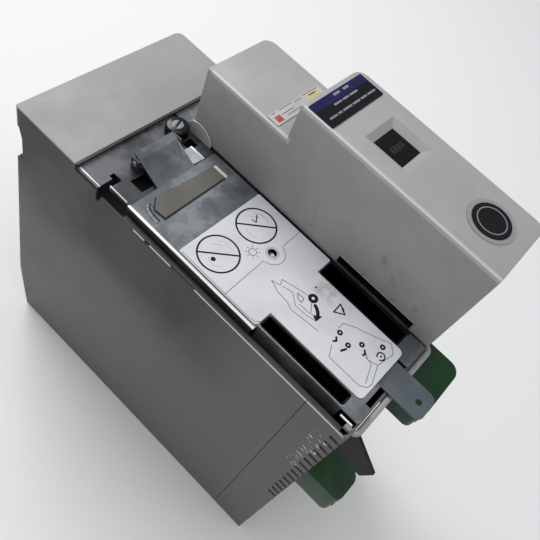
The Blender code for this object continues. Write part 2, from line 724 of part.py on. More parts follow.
# ---------------------------------------------------------------- swing panel
def build_swing_panel():
    """Galvanised panel: plate, folded flanges, hinge hood with its knuckle, finger slots."""
    lip = PANEL_MARGIN + SLOT_INSET
    neck = SLOTS["right"][1] + 1.5
    tab_low = TAB_ACROSS - TAB_W / 2 - TAB_BAY_MARGIN
    tab_high = TAB_ACROSS + TAB_W / 2 + TAB_BAY_MARGIN
    bay = SLOT_END + 6.0
    neck_end = SLOT_END + 8.5
    panel = plan_profile("swing_panel", [
        (PANEL_MARGIN, PANEL_START, 0), (PANEL_FAR, PANEL_START, 0), (PANEL_FAR, PANEL_END, 1.5),
        (tab_high, PANEL_END, 1.5), (tab_high, bay, 0), (tab_low, bay, 0), (tab_low, neck_end, 0),
        (neck, neck_end, 0), (neck, PANEL_END, 1.5), (lip, PANEL_END, 1.5), (lip, SLOT_START, 0),
        (PANEL_MARGIN, SLOT_START, 1.5)], (PANEL_UNDER, PANEL_TOP_H), "galvanised_steel", 3)
    flange_h = (PANEL_TOP_H - FLANGE_D, PANEL_UNDER + FOLD_LAP)
    flange_along = (PANEL_START, SLOT_START - FLANGE_END_GAP)
    for name, across, along in (
            ("right_flange", (PANEL_MARGIN, PANEL_MARGIN + PANEL_T), flange_along),
            ("slot_flange", (lip, lip + PANEL_T), (SLOT_START + 0.5, SLOT_END)),
            ("left_flange", (PANEL_FAR - PANEL_T, PANEL_FAR), flange_along)):
        boolean(panel, block("fold_" + name, across, along, flange_h), "UNION")
    build_hood(panel)
    cutter_h = (PANEL_TOP_H - PAST, PANEL_TOP_H + PAST)
    for side, (low, high) in SLOTS.items():
        boolean(panel, plan_profile("cut_slot_" + side, slot_outline(low, high, SLOT_START, SLOT_END),
                                    cutter_h, None, 2))
    boolean(panel, block("cut_emboss", (PANEL_MARGIN + EMBOSS_MARGINS[0], PANEL_FAR - EMBOSS_MARGINS[1]),
                         (PANEL_START + EMBOSS_FROM_START, PANEL_START + EMBOSS_FROM_START + EMBOSS_L),
                         (PANEL_TOP_H - EMBOSS_D, PANEL_TOP_H + PAST)))
    boolean(panel, cylinder("cut_light", (LIGHT_ACROSS, LIGHT_ALONG, PANEL_TOP_H),
                            LIGHT_HOLE_R, 20.0, "Z", None, 24))
    wells = [build_finger_well("finger_well_" + side, low + GAP, high - GAP)
             for side, (low, high) in SLOTS.items()]
    hinge = pivot("panel_pivot", place(HOOD_ACROSS, HINGE_ALONG, HINGE_H))
    hang(hinge, panel, build_panel_label(), *wells, build_locking_tab())


def slot_outline(low, high, start, end):
    """Outline of a finger slot in (across, along, radius)."""
    return [(low, start, SLOT_CORNER_R), (low, end, SLOT_CORNER_R), (high, end, SLOT_CORNER_R),
            (high, start, SLOT_CORNER_R)]


def build_panel_label():
    """Printed film: full width beside the hinge, then a neck between the finger slots."""
    low = PANEL_MARGIN + LABEL_MARGINS[0]
    high = PANEL_FAR - LABEL_MARGINS[1]
    shoulder = SLOT_START - 0.5
    neck_end = SLOT_END + 5.5
    neck = (SLOTS["right"][1] + LABEL_SLOT_GAP, SLOTS["left"][0] - LABEL_SLOT_GAP)
    under = PANEL_TOP_H + GAP
    label = plan_profile("panel_label", [
        (low, LABEL_START, 1.0), (high, LABEL_START, 1.0), (high, shoulder, 1.0), (neck[1], shoulder, 0),
        (neck[1], neck_end, 3.5), (neck[0], neck_end, 3.5), (neck[0], shoulder, 0), (low, shoulder, 2.5)],
        (under, under + FILM_T), "paper_label", 3)
    return boolean(label, cylinder("cut_label_light", (LIGHT_ACROSS, LIGHT_ALONG, PANEL_TOP_H),
                                   LIGHT_HOLE_R - 0.4, 20.0, "Z", None, 24))


def build_hood(panel):
    """Raised hinge hood: a ramp up from the plate with a knuckle under its free edge."""
    centre = (HOOD_ACROSS, HINGE_ALONG, HINGE_H)
    hood_w = HOOD_SPAN[1] - HOOD_SPAN[0]
    overlap = 1.5
    ramp = side_profile("fold_hood", [
        (HOOD_START, HOOD_TOP_H, 0), (HOOD_START, HOOD_TOP_H - PANEL_T * 1.2, 0),
        (PANEL_START, PANEL_UNDER, 0), (PANEL_START + overlap, PANEL_UNDER + 0.1, 0),
        (PANEL_START + overlap, PANEL_TOP_H - 0.1, 0), (PANEL_START, PANEL_TOP_H + 0.05, 0)], HOOD_SPAN)
    boolean(panel, ramp, "UNION")
    knuckle = cylinder("fold_knuckle", centre, HINGE_ROD_R + KNUCKLE_WALL, hood_w - 3.0, "X", None, 24)
    boolean(panel, knuckle, "UNION")
    boolean(panel, cylinder("cut_knuckle", centre, HINGE_ROD_R + HINGE_RUN, hood_w + 2 * PAST,
                            "X", None, 24))


def build_finger_well(name, low, high):
    """Open-topped black pocket that a finger goes into to pull the panel."""
    start = SLOT_START + GAP
    end = SLOT_END - GAP
    floor = WELL_TOP - WELL_D
    well = plan_profile(name, slot_outline(low, high, start, end), (floor, WELL_TOP), "black_plastic", 2)
    cavity = block("cut_" + name, (low + WELL_WALL, high - WELL_WALL), (start + WELL_WALL, end - WELL_WALL),
                   (floor + WELL_WALL, WELL_TOP + PAST))
    return boolean(well, cavity)


def build_locking_tab():
    """Flat tab that slides on a guide pin under the panel and ends past the housing."""
    top = PANEL_UNDER - TAB_GAP
    start = HOUSING_L - TAB_HIDDEN_L
    end = HOUSING_L + TAB_REACH
    low = TAB_ACROSS - TAB_W / 2
    high = TAB_ACROSS + TAB_W / 2
    tab = plan_profile("locking_tab", [(low, start, 2.0), (low, end, 5.0), (high, end, 5.0),
                                       (high, start, 2.0)], (top - TAB_T, top), "zinc_plated_steel")
    boolean(tab, cylinder("cut_tab_hole", (TAB_ACROSS, end - TAB_HOLE_FROM_END, top), TAB_HOLE_R,
                          2 * PAST, "Z", None, 20))
    pin_along = start + TAB_PIN_FROM_START
    reach = TAB_PIN_R + GAP
    slot_r = reach * 0.95
    slot_near = pin_along - reach - TAB_TRAVEL
    slot_far = pin_along + reach
    boolean(tab, plan_profile("cut_tab_slot", [
        (TAB_ACROSS - reach, slot_near, slot_r), (TAB_ACROSS - reach, slot_far, slot_r),
        (TAB_ACROSS + reach, slot_far, slot_r), (TAB_ACROSS + reach, slot_near, slot_r)],
        (top - PAST, top + PAST), None, 3))
    slide = pivot("tab_slide", place(TAB_ACROSS, start, top))
    hang(slide, tab)
    return build_guide_pin(pin_along, top)


def build_guide_pin(along, top):
    """Shouldered pin: its shank fills the tab's slot and its head keeps the tab up."""
    shank = (top - TAB_T - GAP, top + TAB_GAP)
    pin = cylinder("tab_guide_pin", (TAB_ACROSS, along, sum(shank) / 2), TAB_PIN_R, shank[1] - shank[0],
                   "Z", "zinc_plated_steel", 16)
    head = cylinder("join_pin_head", (TAB_ACROSS, along, shank[0] - TAB_PIN_HEAD_T / 2 + FOLD_LAP / 2),
                    TAB_PIN_R + TAB_PIN_HEAD_LAP, TAB_PIN_HEAD_T, "Z", None, 16)
    return boolean(pin, head, "UNION")


def build_captive_screw():
    """Large round screw: black head, slotted, with its shank through the hinge plate."""
    under = PLATE_H + GAP
    top = under + SCREW_H
    screw = cylinder("captive_screw", (SCREW_ACROSS, SCREW_ALONG, (under + top) / 2), SCREW_R,
                     SCREW_H, "Z", "black_plastic", 32)
    soften(screw, SCREW_EDGE_R)
    shank = cylinder("join_shank", (SCREW_ACROSS, SCREW_ALONG, under - (SCREW_SHANK_L - 1.0) / 2),
                     SCREW_SHANK_R, SCREW_SHANK_L + 1.0, "Z", None, 20)
    boolean(screw, shank, "UNION")
    half_w = SCREW_DRIVE_W / 2
    half_l = SCREW_DRIVE_L / 2
    boolean(screw, block("cut_screw_slot", (SCREW_ACROSS - half_l, SCREW_ACROSS + half_l),
                         (SCREW_ALONG - half_w, SCREW_ALONG + half_w), (top - SCREW_DRIVE_W, top + PAST)))


# ---------------------------------------------------------------- control pod
def pod_blocks(name, inset, floor, finish=None):
    """The pod's low and high blocks, both drawn in by the inset."""
    near = POD_NEAR + inset
    far = HOUSING_W - inset
    corner = POD_CORNER_R - inset
    overlap = POD_STEP + 20.0
    low = plan_profile(name + "_low", [
        (near, POD_START + inset, 0), (near, overlap, 0), (far, overlap, 0),
        (far, POD_START + inset, corner)], (floor, POD_LOW_H - inset))
    high = plan_profile(name, [
        (near, POD_STEP + inset, 0), (near, HOUSING_L - inset, 0), (far, HOUSING_L - inset, corner),
        (far, POD_STEP + inset, corner)], (floor, POD_HIGH_H - inset), finish)
    return low, high


def build_pod():
    """Stepped plastic pod: hollow cover, display, connector, base tray, labels and board."""
    below = POD_FLOOR_H - PAST
    low, cover = pod_blocks("pod_cover", 0.0, below, "light_grey_plastic")
    for item in (low, cover):
        soften(item, POD_EDGE_R)
    boolean(cover, low, "UNION")
    boolean(cover, block("cut_pod_floor", (POD_NEAR - PAST, HOUSING_W + PAST),
                         (POD_START - PAST, HOUSING_L + PAST), (below - PAST, POD_FLOOR_H)))
    for hollow_block in pod_blocks("cut_pod_hollow", POD_WALL, below - PAST):
        boolean(cover, hollow_block)
    boolean(cover, block("cut_grip_relief", (POD_NEAR - PAST, POD_NEAR + POD_WALL + 0.5),
                         (SLOT_START + GRIP_RELIEF_MARGIN, SLOT_END - GRIP_RELIEF_MARGIN),
                         (POD_FLOOR_H - PAST, POD_FLOOR_H + GRIP_RELIEF_H)))
    hollow = (POD_NEAR + POD_WALL, HOUSING_W - POD_WALL)
    base_h = PLATE_H + GAP
    corner_clear = POD_CORNER_R - POD_WALL - 0.2
    shell("pod_base", (hollow[0] + GAP, hollow[1] - corner_clear),
          (POD_START + POD_WALL + GAP, HOUSING_L - POD_WALL - 4.0), (base_h, base_h + POD_BASE_H),
          ("-z", "+x", "-x", "+y", "-y"), POD_BASE_T, "black_plastic")
    block("control_board", (hollow[0] + 2.0, hollow[1] - 2.0), (POD_STEP + 6.0, HOUSING_L - 8.0),
          (CONTROL_BOARD_H - BOARD_T, CONTROL_BOARD_H), "circuit_board")
    build_pod_labels()
    build_display(cover)
    build_io_socket(cover)


def build_pod_labels():
    """Printed name plate, strip label and round badge on the pod's two top faces."""
    top = POD_HIGH_H + GAP
    low_top = POD_LOW_H + GAP
    near = POD_NEAR + NAME_PLATE_MARGINS[0]
    far = HOUSING_W - NAME_PLATE_MARGINS[1]
    start = POD_STEP + NAME_PLATE_FROM_STEP
    end = start + NAME_PLATE_L
    plan_profile("name_plate", [(near, start, 1.0), (near, end, 1.0), (far, end, 1.0), (far, start, 1.0)],
                 (top, top + FILM_T), "blue_black_label", 2)
    cylinder("badge", (POD_MID + BADGE_OFFSET, HOUSING_L - BADGE_FROM_END, top + BADGE_T / 2), BADGE_R,
             BADGE_T, "Z", "black_plastic", 32)
    block("pod_strip_label", (POD_NEAR + STRIP_LABEL_MARGINS[0], HOUSING_W - STRIP_LABEL_MARGINS[1]),
          (POD_STEP - 2 * STRIP_LABEL_L, POD_STEP - STRIP_LABEL_L), (low_top, low_top + FILM_T),
          "paper_label")


def build_display(cover):
    """Recessed display: a sloped pit in the cover, a dark window and the module behind it."""
    middle = POD_MID + DISPLAY_OFFSET
    along = POD_STEP + DISPLAY_FROM_STEP
    floor = POD_HIGH_H - DISPLAY_DEPTH
    over = 1.0
    bm = bmesh.new()
    bmesh.ops.create_cube(bm, size=1.0)
    for vert in bm.verts:
        upper = vert.co.z > 0
        grow = DISPLAY_SLOPE * (DISPLAY_DEPTH + over) / DISPLAY_DEPTH if upper else 0.0
        vert.co.x = math.copysign(DISPLAY_HALF_W + grow, vert.co.x) * MM
        vert.co.y = math.copysign(DISPLAY_HALF_L + grow, vert.co.y) * MM
        vert.co.z = (DISPLAY_DEPTH + over if upper else 0.0) * MM
    pit = add_object("cut_display_pit", mesh_from(bm, "cut_display_pit"), place(middle, along, floor), None)

    def around(margin):
        """The display's across and along spans, grown by a margin."""
        return ((middle - DISPLAY_HALF_W - margin, middle + DISPLAY_HALF_W + margin),
                (along - DISPLAY_HALF_L - margin, along + DISPLAY_HALF_L + margin))

    frame = block("join_display_frame", *around(DISPLAY_SLOPE + 3.0), (floor - POD_WALL, POD_HIGH_H - 0.4))
    boolean(cover, frame, "UNION")
    boolean(cover, pit)
    boolean(cover, block("cut_display_bay", *around(0.0), (floor - 20.0, floor + PAST)))
    window_h = (floor - 0.1 - WINDOW_T, floor - 0.1)
    block("display_window", *around(-DISPLAY_FIT), window_h, "smoked_window")
    block("display_module", *around(-DISPLAY_FIT), (CONTROL_BOARD_H + GAP, window_h[0] - GAP), "black_plastic")


def build_io_socket(cover):
    """Signal socket that hangs under the board and shows through the pod's top end."""
    across = (POD_NEAR + SOCKET_FROM_POD, POD_NEAR + SOCKET_FROM_POD + SOCKET_W)
    top = CONTROL_BOARD_H - BOARD_T - GAP
    height = (top - SOCKET_H, top)
    fit = 0.5
    boolean(cover, block("cut_io", (across[0] - fit, across[1] + fit), (HOUSING_L - 8.0, HOUSING_L + PAST),
                         (height[0] - fit, height[1] + fit)))
    socket = block("io_connector", across, (HOUSING_L - SOCKET_D, HOUSING_L - 0.4), height, "black_plastic")
    boolean(socket, block("cut_io_cavity", (across[0] + 2.0, across[1] - 2.0),
                          (HOUSING_L - SOCKET_CAVITY_D, HOUSING_L + PAST),
                          (height[0] + 2.5, height[1] - 2.5)))


# ---------------------------------------------------------------- plugs and headers
def plug_span(name):
    """A plug's across and height spans: the narrow one near the right wall, the wide one near the left."""
    plug = PLUGS[name]
    start = PLUG_EDGE if name == "narrow" else HOUSING_W - PLUG_EDGE - plug.width
    top = VENT_TOP_H - plug.drop
    return (start, start + plug.width), (top - plug.thickness, top)


def header_span(name, grow):
    """A header's across and height spans, grown by a clearance."""
    margin = HEADER_MARGIN + grow
    return tuple((low - margin, high + margin) for low, high in plug_span(name))


def build_plug(name):
    """Green cable plug with a rounded nose, and the black header that it pushes into."""
    (low, high), height = plug_span(name)
    inner, inner_h = [(span[0] + TONGUE_MARGIN, span[1] - TONGUE_MARGIN) for span in plug_span(name)]
    cavity, cavity_h = [(span[0] - TONGUE_FIT, span[1] + TONGUE_FIT) for span in (inner, inner_h)]
    header_across, header_h = header_span(name, 0.0)
    header = block("plug_header_" + name, header_across, (HOUSING_L - HEADER_L, HOUSING_L - 0.2), header_h,
                   "black_plastic")
    boolean(header, block("cut_header_cavity_" + name, cavity,
                          (HOUSING_L - TONGUE_L - 2.0, HOUSING_L + PAST), cavity_h))
    start = HOUSING_L + GAP
    end = HOUSING_L + PLUGS[name].reach
    plug = plan_profile("power_plug_" + name, [
        (low, start, 0), (low, end, PLUG_NOSE_R * 0.6), (high, end, PLUG_NOSE_R), (high, start, 0)],
        height, "green_plastic", 5)
    boolean(plug, block("join_tongue_" + name, inner, (HOUSING_L - TONGUE_L, start + 1.0), inner_h), "UNION")
    slide = pivot("plug_slide_" + name, place((low + high) / 2, start, sum(height) / 2))
    hang(slide, plug)


# ---------------------------------------------------------------- cooling
def build_fan(side, centre):
    """Axial fan: square frame with struts and motor cup, and its bladed rotor."""
    half = FAN_SIZE / 2
    along = (FAN_ALONG, FAN_ALONG + FAN_DEPTH)
    frame = block("fan_frame_" + side, (centre - half, centre + half), along,
                  (FAN_MID_H - half, FAN_MID_H + half), "black_plastic")
    middle = (centre, FAN_ALONG + FAN_DEPTH / 2, FAN_MID_H)
    boolean(frame, cylinder("cut_fan_" + side, middle, FAN_BORE_R, FAN_DEPTH + 2 * PAST, "Y", None, 32))
    strut_along = (along[1] - 3.0, along[1] - 0.01)
    for name, wide, tall in (("flat", half - 1.0, 2.0), ("upright", 2.0, half - 1.0)):
        strut = block("join_strut_%s_%s" % (name, side), (centre - wide, centre + wide), strut_along,
                      (FAN_MID_H - tall, FAN_MID_H + tall))
        boolean(frame, strut, "UNION")
    cup = cylinder("join_cup_" + side, (centre, along[1] - 2.0, FAN_MID_H), FAN_HUB_R, 3.9, "Y", None, 24)
    boolean(frame, cup, "UNION")
    hub_mid = (centre, FAN_ALONG + 1.0 + FAN_HUB_L / 2, FAN_MID_H)
    rotor = cylinder("fan_rotor_" + side, hub_mid, FAN_HUB_R, FAN_HUB_L, "Y", "black_plastic", 24)
    boolean(rotor, fan_blades(side, hub_mid), "UNION")


def fan_blades(side, hub_mid):
    """All blades of one rotor, pitched round the hub; they start inside it."""
    root = FAN_HUB_R - 2.6
    length = FAN_BORE_R - FAN_TIP_GAP - 0.6 - root
    bm = bmesh.new()
    for index in range(FAN_BLADES):
        blade = bmesh.ops.create_cube(bm, size=1.0)["verts"]
        bmesh.ops.scale(bm, vec=(BLADE_T * MM, (FAN_HUB_L - 3.5) * MM, length * MM), verts=blade)
        bmesh.ops.rotate(bm, cent=(0, 0, 0), matrix=Matrix.Rotation(BLADE_PITCH, 3, "Z"), verts=blade)
        bmesh.ops.translate(bm, vec=(0, 0, (root + length / 2) * MM), verts=blade)
        turn = Matrix.Rotation(2 * math.pi * index / FAN_BLADES, 3, "Y")
        bmesh.ops.rotate(bm, cent=(0, 0, 0), matrix=turn, verts=blade)
    return add_object("join_blades_" + side, mesh_from(bm, "blades_" + side), place(*hub_mid), None)


def build_heat_sink():
    """Extruded heat sink: a thick seat for the power module over parallel fins."""
    margin = INSIDE + SINK_SIDE_GAP
    across = (margin, HOUSING_W - margin)
    foot = BACK_T + GAP
    sink = block("heat_sink", across, (SINK_ALONG, SINK_END), (foot, SINK_TOP_H), "aluminium")
    pitch = (across[1] - across[0] - FIN_T) / (FIN_COUNT - 1)
    channel = block("cut_channel", (across[0] + FIN_T, across[0] + pitch),
                    (SINK_ALONG - PAST, SINK_END + PAST), (foot - PAST, SINK_TOP_H - SINK_BASE_T))
    boolean(sink, repeat(channel, FIN_COUNT - 1, (-pitch * MM, 0, 0)))


# ---------------------------------------------------------------- electronics
def build_power_stage():
    """Transistor module, power board on standoffs, bus capacitors and their copper bars."""
    seat = SINK_TOP_H + GAP
    middle = HOUSING_W / 2
    sink_mid = (SINK_ALONG + SINK_END) / 2
    soften(block("power_module", (middle - MODULE_W / 2, middle + MODULE_W / 2),
                 (sink_mid - MODULE_L / 2, sink_mid + MODULE_L / 2), (seat, seat + MODULE_H),
                 "module_plastic"), MODULE_EDGE_R)
    across = (INSIDE + BOARD_SIDE_GAP, HOUSING_W - INSIDE - BOARD_SIDE_GAP)
    board_top = POWER_BOARD_H + BOARD_T
    block("power_board", across, (SINK_ALONG, SINK_END), (POWER_BOARD_H, board_top), "circuit_board")
    corners = [(x, y) for x in (across[0] + STANDOFF_INSET, across[1] - STANDOFF_INSET)
               for y in (SINK_ALONG + STANDOFF_INSET, SINK_END - STANDOFF_INSET)]
    for index, (x, y) in enumerate(corners, start=1):
        cylinder("board_standoff_%d" % index, (x, y, (seat + POWER_BOARD_H - GAP) / 2), STANDOFF_R,
                 POWER_BOARD_H - GAP - seat, "Z", "zinc_plated_steel", 12)
    step = CAPACITOR_R + CAPACITOR_SPACING / 2
    bank_mid = SINK_ALONG + CAPACITOR_FROM_SINK
    cans = [(middle + row * step, bank_mid + column * step) for row in (-1, 1) for column in (-1, 1)]
    for index, (x, y) in enumerate(cans, start=1):
        can = cylinder("bus_capacitor_%d" % index, (x, y, board_top + GAP + CAPACITOR_H / 2),
                       CAPACITOR_R, CAPACITOR_H, "Z", "capacitor_sleeve", 28)
        soften(can, MODULE_EDGE_R, 1)
    for name, side in (("bus_bar_positive", -1), ("bus_bar_negative", 1)):
        centre = middle + side * step
        block(name, (centre - BUS_BAR_W / 2, centre + BUS_BAR_W / 2),
              (bank_mid - 2 * step, SINK_END - BUS_BAR_END_GAP), (BUS_BAR_TOP - BUS_BAR_T, BUS_BAR_TOP),
              "copper")


def build_driver_board():
    """Driver board on two angle brackets that follow the side walls."""
    along = (SINK_ALONG + BRACKET_SETBACK, SINK_END)
    shelf_h = DRIVER_BOARD_H - GAP
    far = HOUSING_W - INSIDE
    for side, outer, across in (("right", "+x", (INSIDE, INSIDE + BRACKET_LEDGE)),
                                ("left", "-x", (far - BRACKET_LEDGE, far))):
        shell("board_bracket_" + side, across, along, (shelf_h - BRACKET_D, shelf_h), ("+z", outer), SHEET,
              "galvanised_steel")
    block("driver_board", (INSIDE + BOARD_SIDE_GAP / 2, far - BOARD_SIDE_GAP / 2), along,
          (DRIVER_BOARD_H, DRIVER_BOARD_H + BOARD_T), "circuit_board")


# ---------------------------------------------------------------- the whole module
clear_scene()
PARTS = new_collection("servo_drive_module")
CUTTERS = new_collection("cutters")

build_housing()
build_end_rim()
build_side_guard()
build_swing_panel()
build_captive_screw()
build_pod()
for plug_name in PLUGS:
    build_plug(plug_name)
for fan_side, fan_centre in FAN_CENTRES.items():
    build_fan(fan_side, fan_centre)
build_heat_sink()
build_power_stage()
build_driver_board()
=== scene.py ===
"""Servo drive module: a sheet-steel housing, a swing-up service panel and a moulded control pod.

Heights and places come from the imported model's own boxes. Sizes are millimetres, except in the
finishes' zones and the studio, which are metres.
"""

from __future__ import annotations

import logging
import math
from dataclasses import dataclass
from enum import Enum
from typing import Any, Callable, Iterable, Mapping, Sequence

import bmesh
import bpy
from mathutils import Matrix, Vector

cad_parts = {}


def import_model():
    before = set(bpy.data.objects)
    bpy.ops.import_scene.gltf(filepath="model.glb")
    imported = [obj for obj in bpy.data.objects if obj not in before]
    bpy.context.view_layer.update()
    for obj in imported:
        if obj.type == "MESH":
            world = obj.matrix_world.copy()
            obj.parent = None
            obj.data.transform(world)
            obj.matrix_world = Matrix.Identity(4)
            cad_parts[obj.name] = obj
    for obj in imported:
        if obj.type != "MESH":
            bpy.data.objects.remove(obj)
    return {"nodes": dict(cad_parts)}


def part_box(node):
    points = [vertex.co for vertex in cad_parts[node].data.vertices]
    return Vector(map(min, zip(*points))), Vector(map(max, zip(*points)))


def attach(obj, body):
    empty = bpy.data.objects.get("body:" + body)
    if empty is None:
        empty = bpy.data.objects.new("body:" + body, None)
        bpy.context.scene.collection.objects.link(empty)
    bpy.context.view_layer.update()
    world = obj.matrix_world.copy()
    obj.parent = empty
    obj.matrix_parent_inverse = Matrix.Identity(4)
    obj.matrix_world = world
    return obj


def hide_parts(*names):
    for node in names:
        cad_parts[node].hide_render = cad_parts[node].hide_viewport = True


LOG = logging.getLogger("servo_drive_module")
MM = 0.001
# An edge stays sharp in shading, and takes a finishing bevel, over this many degrees.
SHARP = 32.0
# An edge is rounded as a fold over this many degrees, and faces are merged as flat under FLAT.
FOLD = 35.0
FLAT = 0.5
# Corners, levels and places that are nearer than this are one: the first two in metres.
SAME_CORNER = 2e-6
SAME_LEVEL = 1e-7
SAME_PLACE = 1e-6
Point = tuple[float, float]
Place = tuple[float, float, float]


class Body(str, Enum):
    """The moving groups of the module."""

    HOUSING = "housing"
    PANEL = "panel"
    TAB = "tab"
    SCREW = "screw"
    PLUG_NARROW = "plug_narrow"
    PLUG_WIDE = "plug_wide"
    FAN_LEFT = "fan_left"
    FAN_RIGHT = "fan_right"


class Way(Enum):
    """Which way a turned shape's axis points."""

    UP = "z"
    ALONG = "y"
    ACROSS = "x"


# ---------------------------------------------------------------- materials


def linear(code: str) -> tuple[float, float, float, float]:
    """Turn an sRGB hex colour into linear light.

    Args:
        code: A hash and six hex digits.

    Returns:
        Red, green, blue and full opacity for a shader socket.
    """
    values = [int(code[start : start + 2], 16) / 255.0 for start in (1, 3, 5)]
    light = [v / 12.92 if v <= 0.04045 else ((v + 0.055) / 1.055) ** 2.4 for v in values]
    return (light[0], light[1], light[2], 1.0)


def add(
    tree: bpy.types.NodeTree, kind: str, inputs: Mapping[Any, Any] | None = None, **settings: Any
) -> bpy.types.Node:
    """Add one shader node with its settings and its links.

    Args:
        tree: The material's node tree.
        kind: The node's type name, without its "ShaderNode" start.
        inputs: Values or output sockets, by input name or number.
        settings: Attributes of the node.

    Returns:
        The new node.
    """
    node = tree.nodes.new("ShaderNode" + kind)
    for key, value in settings.items():
        setattr(node, key, value)
    for key, value in (inputs or {}).items():
        if isinstance(value, bpy.types.NodeSocket):
            tree.links.new(value, node.inputs[key])
        else:
            node.inputs[key].default_value = value
    return node


def per_mm(size: float) -> float:
    """The texture scale whose features are this many millimetres across."""
    return 1.0 / (size * MM)


@dataclass(frozen=True)
class Zone:
    """A box of the module in metres, how many millimetres it fades out over, and its colour."""

    low: Place
    high: Place
    soft: float
    colour: str


@dataclass(frozen=True)
class Finish:
    """A real surface finish, from which a material is made once and shared."""

    name: str
    colour: str
    roughness: float
    metallic: float = 0.0
    ior: float = 1.5

    def open(self) -> tuple[bpy.types.Material, bpy.types.NodeTree, bpy.types.Node, Any]:
        """Start the material.

        Returns:
            The material, its tree, its shader node and the Object coordinates' socket.
        """
        material = bpy.data.materials.new(self.name)
        material.use_nodes = True
        material.diffuse_color = linear(self.colour)
        tree = material.node_tree
        tree.nodes.clear()
        even = {
            "Base Color": linear(self.colour),
            "Roughness": self.roughness,
            "Metallic": self.metallic,
            "IOR": self.ior,
        }
        shader = add(tree, "BsdfPrincipled", even)
        add(tree, "OutputMaterial", {"Surface": shader.outputs["BSDF"]})
        return material, tree, shader, add(tree, "TexCoord").outputs["Object"]

    def cloud(
        self, tree: Any, place: Any, size: float, low: float, high: float, detail: float = 3.0
    ) -> Any:
        """A soft noise mask with its contrast stretched.

        Args:
            tree: The material's node tree.
            place: The coordinates' socket.
            size: The patches' width in millimetres.
            low: The noise value that becomes 0.
            high: The noise value that becomes 1.
            detail: How many finer layers the noise has.

        Returns:
            The mask's output socket.
        """
        grain = {"Vector": place, "Scale": per_mm(size), "Detail": detail, "Roughness": 0.6}
        noise = add(tree, "TexNoise", grain).outputs["Fac"]
        spread = {"Value": noise, "From Min": low, "From Max": high}
        return add(tree, "MapRange", spread, interpolation_type="SMOOTHSTEP").outputs["Result"]

    def cover(self, tree: Any, masks: Sequence[Any], below: Any, above: str) -> Any:
        """Lay a colour over another where every mask lets it through.

        Args:
            tree: The material's node tree.
            masks: Sockets or numbers from 0 to 1, which are multiplied together.
            below: The colour underneath, as a socket or a hex code.
            above: The hex code of the colour on top.

        Returns:
            The mixed colour's socket.
        """
        share = masks[0]
        for mask in masks[1:]:
            share = add(tree, "Math", {0: share, 1: mask}, operation="MULTIPLY").outputs[0]
        under = linear(below) if isinstance(below, str) else below
        colours = {"Factor": share, 6: under, 7: linear(above)}
        return add(tree, "Mix", colours, data_type="RGBA").outputs[2]

    def inside(self, tree: Any, place: Any, zone: Zone) -> Any:
        """A mask that is 1 inside a zone and fades out round it.

        Args:
            tree: The material's node tree.
            place: The coordinates' socket.
            zone: The box and its softness.

        Returns:
            The mask's output socket.
        """
        parts = add(tree, "SeparateXYZ", {"Vector": place})
        total: Any = 1.0
        for axis in range(3):
            for edge, inward in ((zone.low[axis], 1.0), (zone.high[axis], -1.0)):
                fade = {
                    "Value": parts.outputs[axis],
                    "From Min": edge - inward * zone.soft * MM,
                    "From Max": edge,
                }
                ramp = add(tree, "MapRange", fade, interpolation_type="SMOOTHSTEP")
                both = {0: total, 1: ramp.outputs["Result"]}
                total = add(tree, "Math", both, operation="MULTIPLY").outputs[0]
        return total

    def dress(
        self,
        tree: Any,
        shader: Any,
        colour: Any,
        relief: tuple[Any, float, float],
        gloss: tuple[Any, float, float] | None = None,
    ) -> None:
        """Give the shader its colour, its relief and, where it varies, its gloss.

        Args:
            tree: The material's node tree.
            shader: The Principled node.
            colour: The colour's socket.
            relief: The height's socket, the depth in millimetres and the share that shows.
            gloss: A mask's socket, and what it adds to the roughness where it is 0 and 1.
        """
        tree.links.new(colour, shader.inputs["Base Color"])
        if gloss is not None:
            mask, least, most = gloss
            low, high = self.roughness + least, self.roughness + most
            ends = {"Value": mask, "To Min": low, "To Max": high}
            rough = add(tree, "MapRange", ends)
            tree.links.new(rough.outputs["Result"], shader.inputs["Roughness"])
        height, depth, strength = relief
        dents = {"Height": height, "Distance": depth * MM, "Strength": strength}
        bump = add(tree, "Bump", dents)
        tree.links.new(bump.outputs["Normal"], shader.inputs["Normal"])

    def build(self) -> bpy.types.Material:
        """The finished material."""
        return self.open()[0]


